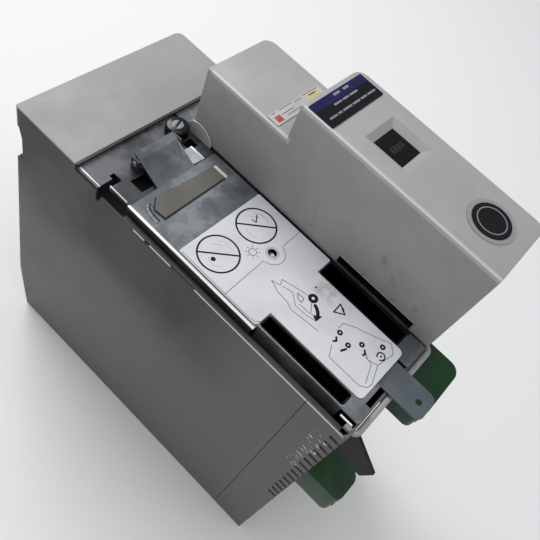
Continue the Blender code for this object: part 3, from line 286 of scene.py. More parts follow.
@dataclass(frozen=True)
class PaintedSteel(Finish):
    """Powder-coated steel: a faint orange peel, clouded tone, and scuffs that show paler paint."""

    tint: str = "#8a8b8c"
    scuff: str = "#c2c2c2"
    scuff_share: float = 0.2
    patch: float = 60.0
    # The real peel is about 0.8 mm across. It is drawn at 1.6 mm so that it shows.
    peel: float = 1.6
    # The real scratches are about 0.3 mm wide. They are drawn at 2 mm so that they show.
    scratch: float = 2.2
    chip: float = 2.0
    worn: Zone | None = None
    # Zones laid over the paint: painted shade, and pale edge lines.
    painted_shade_and_edge_line: tuple[Zone, ...] = ()

    def build(self) -> bpy.types.Material:
        """The finished material."""
        material, tree, shader, place = self.open()
        tone = self.cloud(tree, place, self.patch, 0.35, 0.68, 4.0)
        colour = self.cover(tree, [tone], self.colour, self.tint)
        for zone in self.painted_shade_and_edge_line:
            colour = self.cover(tree, [self.inside(tree, place, zone)], colour, zone.colour)
        long = {"Vector": place, "Rotation": (0.5, 0.35, 0.6), "Scale": (1.0, 0.08, 1.0)}
        drawn = add(tree, "Mapping", long).outputs["Vector"]
        lines = self.cloud(tree, drawn, self.scratch, 0.69, 0.76, 2.0)
        where = self.cloud(tree, place, 35.0, 0.5, 0.7)
        colour = self.cover(tree, [lines, where, self.scuff_share], colour, self.scuff)
        if self.worn is not None:
            short = {"Vector": place, "Rotation": (0.55, 0.0, 0.0), "Scale": (1.0, 0.35, 1.0)}
            slanted = add(tree, "Mapping", short).outputs["Vector"]
            chips = self.cloud(tree, slanted, self.chip, 0.59, 0.63)
            masks = [self.inside(tree, place, self.worn), chips]
            colour = self.cover(tree, masks, colour, self.worn.colour)
        fine = {"Vector": place, "Scale": per_mm(self.peel), "Detail": 2.0}
        peel = add(tree, "TexNoise", fine).outputs["Fac"]
        self.dress(tree, shader, colour, (peel, 0.05, 0.35), (tone, -0.05, 0.09))
        return material


@dataclass(frozen=True)
class GalvanisedSteel(Finish):
    """Hot-dip galvanised sheet: zinc crystals, each of its own grey, under a dull bloom."""

    dark: str = "#5c6166"
    light: str = "#a9aeb0"
    crystal: float = 9.0
    bloom: float = 26.0
    bloom_share: float = 0.62
    # How far the crystals' straight edges wander, in metres, and over how many millimetres.
    wander: float = 0.004
    wander_size: float = 7.0

    def build(self) -> bpy.types.Material:
        """The finished material."""
        material, tree, shader, place = self.open()
        loose = {"Vector": place, "Scale": per_mm(self.wander_size), "Detail": 2.0}
        warp = add(tree, "TexNoise", loose).outputs["Color"]
        shift = {0: warp, 1: (self.wander,) * 3, 2: place}
        moved = add(tree, "VectorMath", shift, operation="MULTIPLY_ADD").outputs["Vector"]
        cells = add(tree, "TexVoronoi", {"Vector": moved, "Scale": per_mm(self.crystal)})
        grey = add(tree, "SeparateXYZ", {"Vector": cells.outputs["Color"]}).outputs[0]
        bloom = self.cloud(tree, place, self.bloom, 0.36, 0.64, 4.0)
        layers = {"Factor": self.bloom_share, 2: grey, 3: bloom}
        share = add(tree, "Mix", layers, data_type="FLOAT").outputs[0]
        ramp = add(tree, "ValToRGB", {"Fac": share})
        stops = ramp.color_ramp.elements
        stops.new(0.5)
        shades = ((0.12, self.dark), (0.5, self.colour), (0.88, self.light))
        for stop, (position, code) in zip(stops, shades):
            stop.position = position
            stop.color = linear(code)
        self.dress(tree, shader, ramp.outputs["Color"], (grey, 0.02, 0.5), (grey, -0.08, 0.12))
        return material


@dataclass(frozen=True)
class PlatedSteel(Finish):
    """Zinc-plated or plain drawn metal: fine lines along its length and a slight cloudiness."""

    worn: str = "#8b9296"
    # Rolling lines are about 0.1 mm apart. They are drawn at 0.5 mm so that they show.
    line: float = 0.5
    stretch: float = 0.05
    patch: float = 12.0

    def build(self) -> bpy.types.Material:
        """The finished material."""
        material, tree, shader, place = self.open()
        drawn = add(tree, "Mapping", {"Vector": place, "Scale": (1.0, self.stretch, 1.0)})
        fine = {"Vector": drawn.outputs["Vector"], "Scale": per_mm(self.line), "Detail": 3.0}
        grain = add(tree, "TexNoise", fine).outputs["Fac"]
        layers = {"Factor": 0.65, 2: grain, 3: self.cloud(tree, place, self.patch, 0.38, 0.66)}
        share = add(tree, "Mix", layers, data_type="FLOAT").outputs[0]
        colour = self.cover(tree, [share], self.colour, self.worn)
        self.dress(tree, shader, colour, (grain, 0.01, 0.4), (grain, -0.1, 0.12))
        return material


@dataclass(frozen=True)
class MouldedPlastic(Finish):
    """Injection-moulded ABS or nylon: an etched grain, a slightly uneven tone and grime."""

    tint: str = "#9a9999"
    grime: str = "#4c4a48"
    grime_share: float = 0.0
    patch: float = 40.0
    # The etched grain is about 0.3 mm across. It is drawn at 0.9 mm so that it shows.
    grain: float = 0.9
    depth: float = 0.03
    dirt: Zone | None = None
    dirt_share: float = 0.35
    # Edges painted paler as highlights.
    painted_highlights: tuple[Zone, ...] = ()

    def build(self) -> bpy.types.Material:
        """The finished material."""
        material, tree, shader, place = self.open()
        tone = self.cloud(tree, place, self.patch, 0.35, 0.68)
        colour = self.cover(tree, [tone], self.colour, self.tint)
        if self.grime_share:
            spots = self.cloud(tree, place, 7.0, 0.62, 0.74, 5.0)
            colour = self.cover(tree, [spots, self.grime_share], colour, self.grime)
        if self.dirt is not None:
            smears = self.cloud(tree, place, 9.0, 0.56, 0.7, 4.0)
            masks = [self.inside(tree, place, self.dirt), smears, self.dirt_share]
            colour = self.cover(tree, masks, colour, self.dirt.colour)
        for zone in self.painted_highlights:
            colour = self.cover(tree, [self.inside(tree, place, zone)], colour, zone.colour)
        etched = {"Vector": place, "Scale": per_mm(self.grain), "Detail": 2.0}
        grain = add(tree, "TexNoise", etched).outputs["Fac"]
        self.dress(tree, shader, colour, (grain, self.depth, 0.4), (tone, -0.04, 0.07))
        return material


@dataclass(frozen=True)
class PrintedFilm(Finish):
    """Polyester label film or its ink: satin, a little clouded, with soft finger marks."""

    tint: str = "#cfd0d6"
    patch: float = 18.0
    smudge: Zone | None = None
    smudge_share: float = 0.45

    def build(self) -> bpy.types.Material:
        """The finished material."""
        material, tree, shader, place = self.open()
        tone = self.cloud(tree, place, self.patch, 0.35, 0.7)
        colour = self.cover(tree, [tone], self.colour, self.tint)
        if self.smudge is not None:
            rub = self.cloud(tree, place, 6.0, 0.35, 0.62)
            masks = [self.inside(tree, place, self.smudge), rub, self.smudge_share]
            colour = self.cover(tree, masks, colour, self.smudge.colour)
        self.dress(tree, shader, colour, (tone, 0.02, 0.3))
        return material


@dataclass(frozen=True)
class Laminate(Finish):
    """Glass-epoxy circuit board: solder mask with faint copper tracks under it."""

    track: str = "#3f7a55"
    # Real tracks are 1 to 2 mm apart. They are drawn on a 20 mm grid so that they show.
    pitch: float = 20.0

    def build(self) -> bpy.types.Material:
        """The finished material."""
        material, tree, shader, place = self.open()
        mask = linear(self.colour)
        tracks = {
            "Vector": place,
            "Color1": mask,
            "Color2": mask,
            "Mortar": linear(self.track),
            "Scale": per_mm(self.pitch),
            "Mortar Size": 0.03,
        }
        bricks = add(tree, "TexBrick", tracks)
        self.dress(tree, shader, bricks.outputs["Color"], (bricks.outputs["Fac"], 0.03, 0.5))
        return material


@dataclass(frozen=True)
class ClearPlastic(Finish):
    """Polished acrylic or a smoked window: light passes through it, with a sharp highlight."""

    clearness: float = 0.85
    haze: float = 5.0

    def build(self) -> bpy.types.Material:
        """The finished material."""
        material, tree, shader, place = self.open()
        shader.inputs["Transmission Weight"].default_value = self.clearness
        haze = self.cloud(tree, place, self.haze, 0.4, 0.8)
        ends = {"Value": haze, "To Min": self.roughness, "To Max": self.roughness + 0.1}
        gloss = add(tree, "MapRange", ends)
        tree.links.new(gloss.outputs["Result"], shader.inputs["Roughness"])
        return material


class Palette:
    """Every finish of the module, made into a material on first use."""

    # Powder coat over folded steel: satin, nearly even, darker on the wall towards its top and the
    # cap as painted shade, with bare-looking chips beside the vents and a pale line along the top
    # edge.
    CAP_PAINT = PaintedSteel(
        "powder_coat_pale_grey", "#a7a8a8", 0.5, tint="#a09fa0", scuff="#7d7c7c"
    )
    WALL_PAINT = PaintedSteel(
        "powder_coat_shaded_grey",
        "#686265",
        0.55,
        tint="#6e696c",
        scuff="#a9a7a8",
        scuff_share=0.5,
        worn=Zone((0.0695, 0.1145, 0.176), (0.0705, 0.1235, 0.233), 2.5, "#dcdcdc"),
        painted_shade_and_edge_line=(
            # Painted shade: the wall darkens towards its top and towards the cap.
            Zone((0.060, -0.200, 0.215), (0.080, 0.000, 0.300), 75.0, "#3c383b"),
            # Pale line on the top outer edge: partly rubbed paint, partly painted highlight.
            Zone((0.0697, -0.046, 0.2502), (0.0704, 0.1270, 0.2508), 0.35, "#d5cfce"),
        ),
    )
    # Galvanised sheet: blue-grey crystals 7 to 11 mm across, half mirror and half dull bloom.
    # The hinge plate's sheet is painted darker as the bay's shade and dark reflections, and its
    # shaded flange darker still.
    ZINC_SHEET = GalvanisedSteel(
        "galvanised_sheet", "#6d7276", 0.5, 0.45, dark="#5d6266", light="#888c90", crystal=11.0
    )
    HINGE_SHEET_SHADED = GalvanisedSteel(
        "galvanised_hinge_sheet_painted_shade", "#45464a", 0.45, 0.4, dark="#2f3033", light="#626467", crystal=7.0
    )
    FLANGE_SHEET = GalvanisedSteel(
        "galvanised_flange_in_shade", "#4a4849", 0.6, 0.3, dark="#353234", light="#5a5859"
    )
    # Paler zinc: painted light on the hood's facet and on the pad's outer bead, and a worn rim.
    PALE_ZINC = GalvanisedSteel(
        "galvanised_pale_sheet", "#a9aeb0", 0.45, 0.4, dark="#999ea1", light="#b9bdbf", crystal=8.0
    )
    # Plated and plain metals: fine drawn lines, from the tab's dull blue zinc to a near-white sheet
    # that paints highlights on folds, and a pale sheet that paints light on the ear.
    TAB_STEEL = PlatedSteel("zinc_plated_steel", "#5d676c", 0.5, 0.5, worn="#6a7479")
    # Painted light: a pale sheet for the ear, whose face turns away from the light.
    EAR_PAINTED_LIGHT = PlatedSteel("ear_sheet_painted_light", "#cfd1d2", 0.45, 0.2, worn="#dcdede")
    # Painted highlight: near-white sheet laid on folds where light catches them.
    PAINTED_HIGHLIGHT = PlatedSteel("painted_highlight_fold", "#f2f3f4", 0.3, 0.2, worn="#fbfbfb")
    BRIGHT_STEEL = PlatedSteel("bright_steel", "#c9cccd", 0.25, 1.0, worn="#eef0f0")
    CORE_STEEL = PlatedSteel("dull_core_steel", "#8d9194", 0.22, 0.9, worn="#c4c7c9")
    ALUMINIUM = PlatedSteel("mill_aluminium", "#9a9c9e", 0.45, 0.9, worn="#b9bbbc")
    COPPER = PlatedSteel("drawn_copper", "#b0704a", 0.35, 1.0, worn="#c98a62")
    # Painted shade: dark hem paint and dark nylon, laid where shade falls beside the bright folds.
    SHADOW_NYLON = MouldedPlastic("nylon_painted_shade", "#221f20", 0.6, ior=1.38, tint="#2a2627")
    SHADOW_SHEET = PaintedSteel(
        "powder_coat_hem_painted_shade", "#393737", 0.6, tint="#424040", scuff_share=0.1
    )
    # Moulded ABS: warm light grey, finely etched, smeared by hands low on the panel's side.
    POD_ABS = MouldedPlastic(
        "moulded_abs_grey",
        "#adabab",
        0.5,
        tint="#a5a3a4",
        dirt=Zone((-0.0145, 0.020, 0.262), (-0.0125, 0.110, 0.285), 14.0, "#4c4a48"),
        # Painted highlights along the pod's outer top edges.
        painted_highlights=(
            Zone((-0.0145, -0.078, 0.3085), (-0.0125, -0.014, 0.3115), 2.0, "#c8c8c9"),
            Zone((-0.0145, -0.013, 0.3365), (-0.0125, 0.135, 0.3395), 2.0, "#c8c8c9"),
        ),
    )
    HALO_ABS = MouldedPlastic("badge_seat_abs", "#989899", 0.5, tint="#929294")
    # Moulded nylon: near black, or deep green on the plugs, with a soft sheen.
    BLACK_NYLON = MouldedPlastic(
        "moulded_black_nylon", "#070708", 0.5, ior=1.33, tint="#0e0e0f", grain=0.8
    )
    BLACK_GLOSS = MouldedPlastic(
        "polished_black_nylon", "#0b0b0c", 0.25, tint="#101011", depth=0.01
    )
    GREEN_NYLON = MouldedPlastic(
        "moulded_green_nylon",
        "#174d26",
        0.38,
        ior=1.42,
        tint="#123b1d",
        grime="#12291a",
        grime_share=0.3,
    )
    # Satin film and its inks: flat, slightly clouded, with a rubbed grey smudge on the label.
    WHITE_FILM = PrintedFilm(
        "white_label_film",
        "#dfe0e5",
        0.4,
        tint="#d6d7dd",
        smudge=Zone((0.000, 0.058, 0.255), (0.012, 0.066, 0.258), 7.0, "#8f8f88"),
    )
    DARK_FILM = PrintedFilm("black_plate_film", "#0a0a0e", 0.4, ior=1.33, tint="#0f0f13")
    STRIP_FILM = PrintedFilm("grey_strip_film", "#c4c4c4", 0.45, tint="#b9b9bb")
    # Painted reflection: the pad's brownish grey.
    PAD_REFLECTION = PrintedFilm("pad_film_painted_reflection", "#6c6863", 0.7, tint="#605f59")
    BLUE_INK = PrintedFilm("blue_band_ink", "#1a1845", 0.4, ior=1.33, tint="#1f1d52")
    BLACK_INK = PrintedFilm("black_line_ink", "#060608", 0.55, ior=1.33, tint="#0b0b0e")
    GREY_INK = PrintedFilm("grey_line_ink", "#57585c", 0.5, tint="#6a6b6f")
    FAINT_INK = PrintedFilm("faint_line_ink", "#b9bac2", 0.5, tint="#c4c5cc")
    PALE_INK = PrintedFilm("pale_mark_ink", "#7e7e8e", 0.45, tint="#9090a0")
    RED_INK = PrintedFilm("red_patch_ink", "#b8453f", 0.45, tint="#c4534b")
    YELLOW_INK = PrintedFilm("yellow_patch_ink", "#c9bd8c", 0.45, tint="#d3c89b")
    DIM_GLOW = PrintedFilm("dim_segment_glow", "#3c4249", 0.4, tint="#4c535b")
    # Acrylic: the display's smoke is nearly black, the light pipe clear and its lens frosted.
    SMOKED = ClearPlastic("smoked_window_acrylic", "#060607", 0.3, ior=1.35, clearness=0.1)
    CLEAR = ClearPlastic("clear_acrylic", "#e6ecee", 0.08)
    LENS = ClearPlastic("frosted_lamp_lens", "#f4f5f6", 0.35, clearness=0.05)
    # Parts inside: solder mask with tracks, shrunk dark sleeves and a filled dark case.
    BOARD = Laminate("green_circuit_board", "#1e4a30", 0.4)
    SLEEVE = MouldedPlastic("capacitor_sleeve_pvc", "#1c2430", 0.3, tint="#222b38", depth=0.01)
    CASE = MouldedPlastic("filled_module_case", "#25272a", 0.5, tint="#2c2e31")

    _made: dict[str, bpy.types.Material] = {}

    @classmethod
    def get(cls, finish: Finish) -> bpy.types.Material:
        """The finish's material, made the first time it is asked for."""
        if finish.name not in cls._made:
            cls._made[finish.name] = finish.build()
        return cls._made[finish.name]

# ---------------------------------------------------------------- workpieces


class Workpiece:
    """A mesh in the making. Its methods take millimetres and add to the same bmesh."""

    def __init__(self) -> None:
        """Start with an empty bmesh."""
        self.bm = bmesh.new()

    def take(self, *nodes: str) -> Workpiece:
        """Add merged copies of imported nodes.

        Args:
            nodes: The nodes' names.

        Returns:
            The workpiece itself.
        """
        for node in nodes:
            self.bm.from_mesh(FRAME_NODES[node].data)
        bmesh.ops.remove_doubles(self.bm, verts=self.bm.verts[:], dist=SAME_CORNER)
        bmesh.ops.dissolve_limit(
            self.bm,
            angle_limit=math.radians(FLAT),
            use_dissolve_boundaries=False,
            verts=self.bm.verts[:],
            edges=self.bm.edges[:],
            delimit={"NORMAL"},
        )
        return self

    def spin(self, verts: list, angle: float, axis: str) -> None:
        """Turn vertices about an axis through the origin, by an angle in radians."""
        turn = Matrix.Rotation(angle, 3, axis)
        bmesh.ops.rotate(self.bm, cent=(0, 0, 0), matrix=turn, verts=verts)

    def bevel(self, edges: Iterable, width: float, segments: int = 2) -> list:
        """Bevel edges.

        Args:
            edges: The edges.
            width: The bevel's width.
            segments: How many facets it has.

        Returns:
            The vertices that it makes.
        """
        return bmesh.ops.bevel(
            self.bm,
            geom=list(edges),
            offset=width * MM,
            offset_type="OFFSET",
            segments=segments,
            profile=0.5,
            affect="EDGES",
            material=-1,
            clamp_overlap=True,
        )["verts"]

    def grow(self, faces: list, reach: Sequence[float]) -> tuple[list, list]:
        """Extrude faces into a solid.

        Args:
            faces: The faces, which stay as the solid's near end.
            reach: How far and which way its far end lies, in metres.

        Returns:
            The vertices and the faces of its far end.
        """
        grown = bmesh.ops.extrude_face_region(self.bm, geom=faces)["geom"]
        verts = [g for g in grown if isinstance(g, bmesh.types.BMVert)]
        bmesh.ops.translate(self.bm, vec=reach, verts=verts)
        return verts, [g for g in grown if isinstance(g, bmesh.types.BMFace)]

    def block(
        self, low: Sequence[float], high: Sequence[float], turn: float = 0.0, edge: float = 0.0
    ) -> None:
        """Add a block.

        Args:
            low: Its lowest corner.
            high: Its highest corner.
            turn: Degrees that it is turned about the vertical through its centre.
            edge: The width of its bevelled edges.
        """
        verts = bmesh.ops.create_cube(self.bm, size=1.0)["verts"]
        low_v, high_v = Vector(low) * MM, Vector(high) * MM
        bmesh.ops.scale(self.bm, vec=high_v - low_v, verts=verts)
        if turn:
            self.spin(verts, math.radians(turn), "Z")
        bmesh.ops.translate(self.bm, vec=(low_v + high_v) / 2, verts=verts)
        if edge:
            self.bevel({e for v in verts for e in v.link_edges}, edge)

    def drum(
        self,
        centre: Sequence[float],
        radius: float,
        length: float,
        way: Way = Way.UP,
        sides: int = 32,
        top: float | None = None,
        edge: float = 0.0,
    ) -> None:
        """Add a round bar or a cone whose axis starts at a centre.

        Args:
            centre: The middle of its first end.
            radius: The radius at its first end.
            length: Its length along the way it points.
            way: The axis that it points along.
            sides: How many sides it is drawn with.
            top: The radius at its other end, if not the same.
            edge: The width of the bevel round both ends.
        """
        verts = bmesh.ops.create_cone(
            self.bm,
            cap_ends=True,
            cap_tris=False,
            segments=sides,
            radius1=radius * MM,
            radius2=(radius if top is None else top) * MM,
            depth=abs(length) * MM,
        )["verts"]
        if length < 0:
            self.spin(verts, math.pi, "X")
        if edge:
            rims = {
                e
                for v in verts
                for e in v.link_edges
                if abs(e.verts[0].co.z - e.verts[1].co.z) < SAME_LEVEL
            }
            verts = self.bevel(rims, edge)
            verts = list({v for f in {f for v in verts for f in v.link_faces} for v in f.verts})
        bmesh.ops.translate(self.bm, vec=(0, 0, length * MM / 2), verts=verts)
        if way is Way.ALONG:
            self.spin(verts, -math.pi / 2, "X")
        elif way is Way.ACROSS:
            self.spin(verts, math.pi / 2, "Y")
        bmesh.ops.translate(self.bm, vec=Vector(centre) * MM, verts=verts)

    def washer(
        self, centre: Sequence[float], outer: float, inner: float, height: float, sides: int = 48
    ) -> None:
        """Add a flat ring that lies level.

        Args:
            centre: The middle of its underside.
            outer: Its outer radius.
            inner: Its inner radius.
            height: Its thickness.
            sides: How many sides it is drawn with.
        """
        verts = []
        for radius in (outer, inner):
            verts += bmesh.ops.create_circle(
                self.bm, cap_ends=False, segments=sides, radius=radius * MM
            )["verts"]
        edges = list({e for v in verts for e in v.link_edges})
        faces = bmesh.ops.bridge_loops(self.bm, edges=edges)["faces"]
        bmesh.ops.recalc_face_normals(self.bm, faces=faces)
        bmesh.ops.reverse_faces(self.bm, faces=[f for f in faces if f.normal.z > 0])
        top, lid = self.grow(faces, (0, 0, height * MM))
        bmesh.ops.reverse_faces(self.bm, faces=lid)
        bmesh.ops.translate(self.bm, vec=Vector(centre) * MM, verts=verts + top)

    def plate(self, outline: Sequence[Point], floor: float, height: float) -> None:
        """Add a level plate with the given outline.

        Args:
            outline: Its corners as X and Y, anticlockwise from above.
            floor: The height of its underside.
            height: Its thickness.
        """
        verts = [self.bm.verts.new((x * MM, y * MM, floor * MM)) for x, y in outline]
        face = self.bm.faces.new(verts)
        self.grow([face], (0, 0, height * MM))
        if face.is_valid:
            face.normal_flip()

    def stroke(self, points: Sequence[Point], width: float, floor: float, height: float) -> None:
        """Add a printed line with round joints.

        Args:
            points: The line's points as X and Y.
            width: Its width.
            floor: The height of its underside.
            height: Its thickness.
        """
        for start, end in zip(points, points[1:]):
            length = math.dist(start, end)
            if length < SAME_PLACE:
                continue
            turn = math.degrees(math.atan2(end[1] - start[1], end[0] - start[0]))
            x, y = (start[0] + end[0]) / 2, (start[1] + end[1]) / 2
            self.block(
                (x - length / 2, y - width / 2, floor),
                (x + length / 2, y + width / 2, floor + height),
                turn,
            )
        for x, y in points:
            self.drum((x, y, floor), width / 2, height, sides=10)

    def arc(
        self, centre: Point, radius: float, start: float, end: float, steps: int = 12
    ) -> list[Point]:
        """Points along a level arc.

        Args:
            centre: The arc's centre as X and Y.
            radius: Its radius.
            start: The angle of its first point in degrees, anticlockwise from +X.
            end: The angle of its last point.
            steps: How many parts it is drawn with.

        Returns:
            Its points as X and Y.
        """
        angles = [math.radians(start + (end - start) * i / steps) for i in range(steps + 1)]
        x, y = centre
        return [(x + radius * math.cos(a), y + radius * math.sin(a)) for a in angles]

    def soften(self, chosen: Callable[[Vector, Vector], bool], width: float) -> Workpiece:
        """Round the sharp edges that a test chooses.

        Args:
            chosen: Says from an edge's middle in millimetres and its direction if it is rounded.
            width: The width of the rounding.

        Returns:
            The workpiece itself.
        """
        picked = []
        for edge in self.bm.edges:
            if len(edge.link_faces) != 2 or edge.calc_face_angle(0.0) < math.radians(FOLD):
                continue
            ends = [v.co / MM for v in edge.verts]
            if chosen((ends[0] + ends[1]) / 2, (ends[1] - ends[0]).normalized()):
                picked.append(edge)
        self.bevel(picked, width, 4)
        return self

    def done(
        self,
        name: str,
        body: Body,
        slot: str,
        finish: Finish,
        stands_for: Iterable[str] = (),
        edge: float = 0.0,
    ) -> bpy.types.Object:
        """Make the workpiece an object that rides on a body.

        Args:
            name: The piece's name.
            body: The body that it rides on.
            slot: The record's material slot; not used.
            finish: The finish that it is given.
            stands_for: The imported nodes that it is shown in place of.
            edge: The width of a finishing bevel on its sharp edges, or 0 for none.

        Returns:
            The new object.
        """
        mesh = bpy.data.meshes.new(name)
        self.bm.normal_update()
        for face in self.bm.faces:
            face.smooth = True
        for bm_edge in self.bm.edges:
            bm_edge.smooth = bm_edge.calc_face_angle(math.pi) < math.radians(SHARP)
        self.bm.to_mesh(mesh)
        self.bm.free()
        mesh.materials.append(Palette.get(finish))
        piece = bpy.data.objects.new(name, mesh)
        bpy.context.scene.collection.objects.link(piece)
        if edge:
            bevel = piece.modifiers.new("broken_edges", "BEVEL")
            bevel.width = edge * MM
            bevel.segments = 2
            bevel.limit_method = "ANGLE"
            bevel.angle_limit = math.radians(SHARP)
            bevel.use_clamp_overlap = True
            bevel.harden_normals = True
        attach(piece, body.value)
        for node in stands_for:
            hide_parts(node)
        LOG.info("%s: %d faces on %s", name, len(mesh.polygons), body.value)
        return piece


FRAME_NODES: dict[str, bpy.types.Object] = {}


def refine(
    node: str, body: Body, slot: str, finish: Finish, edge: float = 0.3
) -> bpy.types.Object:
    """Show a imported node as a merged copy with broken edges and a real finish.

    Args:
        node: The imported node's name.
        body: The body that it rides on.
        slot: Its material slot.
        finish: Its finish.
        edge: The width of its broken edges in millimetres.

    Returns:
        The new object.
    """
    return Workpiece().take(node).done(node + "_shown", body, slot, finish, [node], edge)


def repaint(node: str, finish: Finish) -> None:
    """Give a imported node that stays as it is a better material."""
    data = FRAME_NODES[node].data
    data.materials.clear()
    data.materials.append(Palette.get(finish))
    LOG.info("%s keeps its shape and is finished as %s", node, finish.name)


@dataclass
class Datum:
    """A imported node's box in millimetres, measured from which its details are placed."""

    low: Vector
    high: Vector

    @classmethod
    def of(cls, node: str) -> Datum:
        """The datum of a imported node."""
        low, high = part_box(node)
        return cls(low / MM, high / MM)

    def spot(self, across: float, along: float) -> Point:
        """A place so many millimetres from the node's +X edge and from its -Y edge."""
        return (self.high.x - across, self.low.y + along)

    def middle(self) -> Point:
        """The middle of the node as X and Y."""
        return ((self.low.x + self.high.x) / 2, (self.low.y + self.high.y) / 2)


# ---------------------------------------------------------------- sub-assemblies


@dataclass
class Housing:
    """The sheet-steel box: back plate, walls, covers, cap and rims."""

    edge: float = 0.35
    screw_radius: float = 3.2
    screw_inset: float = 9.0
    # The height of the hem beside the panel's flange, from its underside to its top.
    hem: Point = (248.4, 249.6)

    def build(self) -> None:
        """Build the sheets and then the screws that hold them."""
        for node in ("front_cap", "end_rim"):
            refine(node, Body.HOUSING, "painted_cap_steel", Palette.CAP_PAINT, self.edge)
        for node in ("side_wall_left", "side_wall_right", "end_cover", "recess_wall", "vent_cover"):
            refine(node, Body.HOUSING, "painted_wall_steel", Palette.WALL_PAINT, self.edge)
        refine("back_plate", Body.HOUSING, "aluminium_plate", Palette.ALUMINIUM, self.edge)
        self.fold_cap_lip()
        self.turn_hem()
        self.drive_screws()

    def fold_cap_lip(self) -> None:
        """The cap's edge is folded down to the hinge plate."""
        cap, plate = Datum.of("front_cap"), Datum.of("hinge_plate")
        lip = Workpiece()
        lip.block(
            (cap.low.x + 1.7, cap.high.y - 1.7, plate.high.z + 0.1),
            (cap.high.x - 1.7, cap.high.y - 0.05, cap.high.z - 1.45),
            edge=0.3,
        )
        lip.done("cap_folded_lip", Body.HOUSING, "painted_cap_steel", Palette.CAP_PAINT)

    def turn_hem(self) -> None:
        """The right wall's inner hem lies beside the panel's flange, painted dark as shade."""
        wall, vent = Datum.of("side_wall_right"), Datum.of("vent_cover")
        flange = Datum.of("swing_panel")
        hem = Workpiece()
        hem.block(
            (flange.high.x + 0.5, flange.low.y + 24.0, self.hem[0]),
            (wall.low.x + 0.05, vent.high.y - 6.0, self.hem[1]),
            edge=0.3,
        )
        # Painted shade: the hem takes dark paint for the shade beside the flange.
        hem.done("wall_inner_hem", Body.HOUSING, "painted_wall_steel", Palette.SHADOW_SHEET)

    def drive_screws(self) -> None:
        """Countersunk screws hold the far wall to the back plate."""
        heads, slots = Workpiece(), Workpiece()
        wall = Datum.of("side_wall_left")
        x, z = wall.low.x + 0.6, self.screw_inset
        for along in (40.0, 150.0, 235.0):
            y = wall.low.y + along
            slim = self.screw_radius - 0.3
            heads.drum((x, y, z), self.screw_radius, -0.7, Way.ACROSS, 32, slim)
            for half_y, half_z in ((1.9, 0.35), (0.35, 1.9)):
                low = (x - 0.72, y - half_y, z - half_z)
                slots.block(low, (x - 0.66, y + half_y, z + half_z))
        heads.done("wall_screw_heads", Body.HOUSING, "zinc_plated_steel", Palette.BRIGHT_STEEL)
        slots.done("wall_screw_crosses", Body.HOUSING, "black_plastic", Palette.BLACK_NYLON)


@dataclass
class HingeBay:
    """The galvanised bay under the cap: plate, hinge bracket, rod and captive screw."""

    edge: float = 0.25
    head_radius: float = 8.2
    head_height: float = 8.0
    core_radius: float = 3.9
    shank_radius: float = 3.0
    slot_half: float = 0.8
    ribs: int = 24
    ear_thickness: float = 1.0

    def build(self) -> None:
        """Build the bay's sheets and pins."""
        # The plate and bracket take the darker hinge sheet, which paints the bay's shade.
        for node in ("hinge_plate", "hinge_bracket"):
            refine(node, Body.HOUSING, "galvanised_steel", Palette.HINGE_SHEET_SHADED, self.edge)
        refine("pod_mount_plate", Body.HOUSING, "galvanised_steel", Palette.ZINC_SHEET, self.edge)
        refine("hinge_rod", Body.HOUSING, "zinc_plated_steel", Palette.BRIGHT_STEEL, 0.2)
        self.turn_screw()
        self.fit_plate_edge()
        self.curl_ear()

    def turn_screw(self) -> None:
        """The captive screw: a ribbed black thumb head round a slotted steel core."""
        box = Datum.of("captive_screw")
        x, y = box.middle()
        head = Workpiece()
        base = box.high.z - self.head_height
        waist, reach = self.head_radius - 0.6, self.head_radius - 0.65
        head.drum((x, y, base), waist, self.head_height - 0.4, sides=48, edge=1.1)
        for rib in range(self.ribs):
            turn = 2 * math.pi * rib / self.ribs
            place = (x + reach * math.cos(turn), y + reach * math.sin(turn), base + 0.6)
            head.drum(place, 0.6, self.head_height - 2.0, sides=8)
        shown = ["captive_screw"]
        head.done("captive_screw_head", Body.SCREW, "black_plastic", Palette.BLACK_GLOSS, shown)
        core = Workpiece()
        core.drum((x, y, box.low.z), self.shank_radius, base - box.low.z, sides=32, edge=0.4)
        cut = math.degrees(math.asin(self.slot_half / self.core_radius))
        for side in (20.0, 200.0):
            rim = core.arc((x, y), self.core_radius, side + cut, side + 180 - cut, 16)
            core.plate(rim, box.high.z - 0.6, 0.6)
        core.done(
            "captive_screw_core", Body.SCREW, "zinc_plated_steel", Palette.CORE_STEEL, edge=0.2
        )

    def fit_plate_edge(self) -> None:
        """The hinge plate's edge beside the wall, as a near-white strip of painted highlight."""
        plate = Datum.of("hinge_plate")
        strip = Workpiece()
        strip.block(
            (plate.high.x - 2.2, plate.low.y + 1.5, plate.high.z - 0.2),
            (plate.high.x - 1.3, plate.low.y + 19.5, plate.high.z + 0.35),
            edge=0.2,
        )
        # Painted highlight: a near-white strip on the plate's edge.
        strip.done("hinge_plate_edge", Body.HOUSING, "galvanised_steel", Palette.PAINTED_HIGHLIGHT)

    def curl_ear(self) -> None:
        """A rounded sheet ear stands beside the pod next to the screw."""
        plate, pod = Datum.of("hinge_plate"), Datum.of("pod_cover")
        ear = Workpiece()
        x = (pod.high.x + 0.5) * MM
        outline = (
            *((14.0, 0.0), (36.0, 0.0), (36.0, 3.5), (33.0, 8.0)),
            *((28.5, 11.0), (22.5, 12.0), (17.0, 10.5), (14.0, 7.0)),
        )
        ring = [
            ear.bm.verts.new((x, (plate.low.y + along) * MM, (plate.high.z + up) * MM))
            for along, up in outline
        ]
        ear.grow([ear.bm.faces.new(ring)], (self.ear_thickness * MM, 0, 0))
        bmesh.ops.recalc_face_normals(ear.bm, faces=ear.bm.faces[:])
        # Painted light: the ear's pale sheet stands in for light on its shaded face.
        ear.done("hinge_ear", Body.HOUSING, "galvanised_steel", Palette.EAR_PAINTED_LIGHT, edge=0.3)


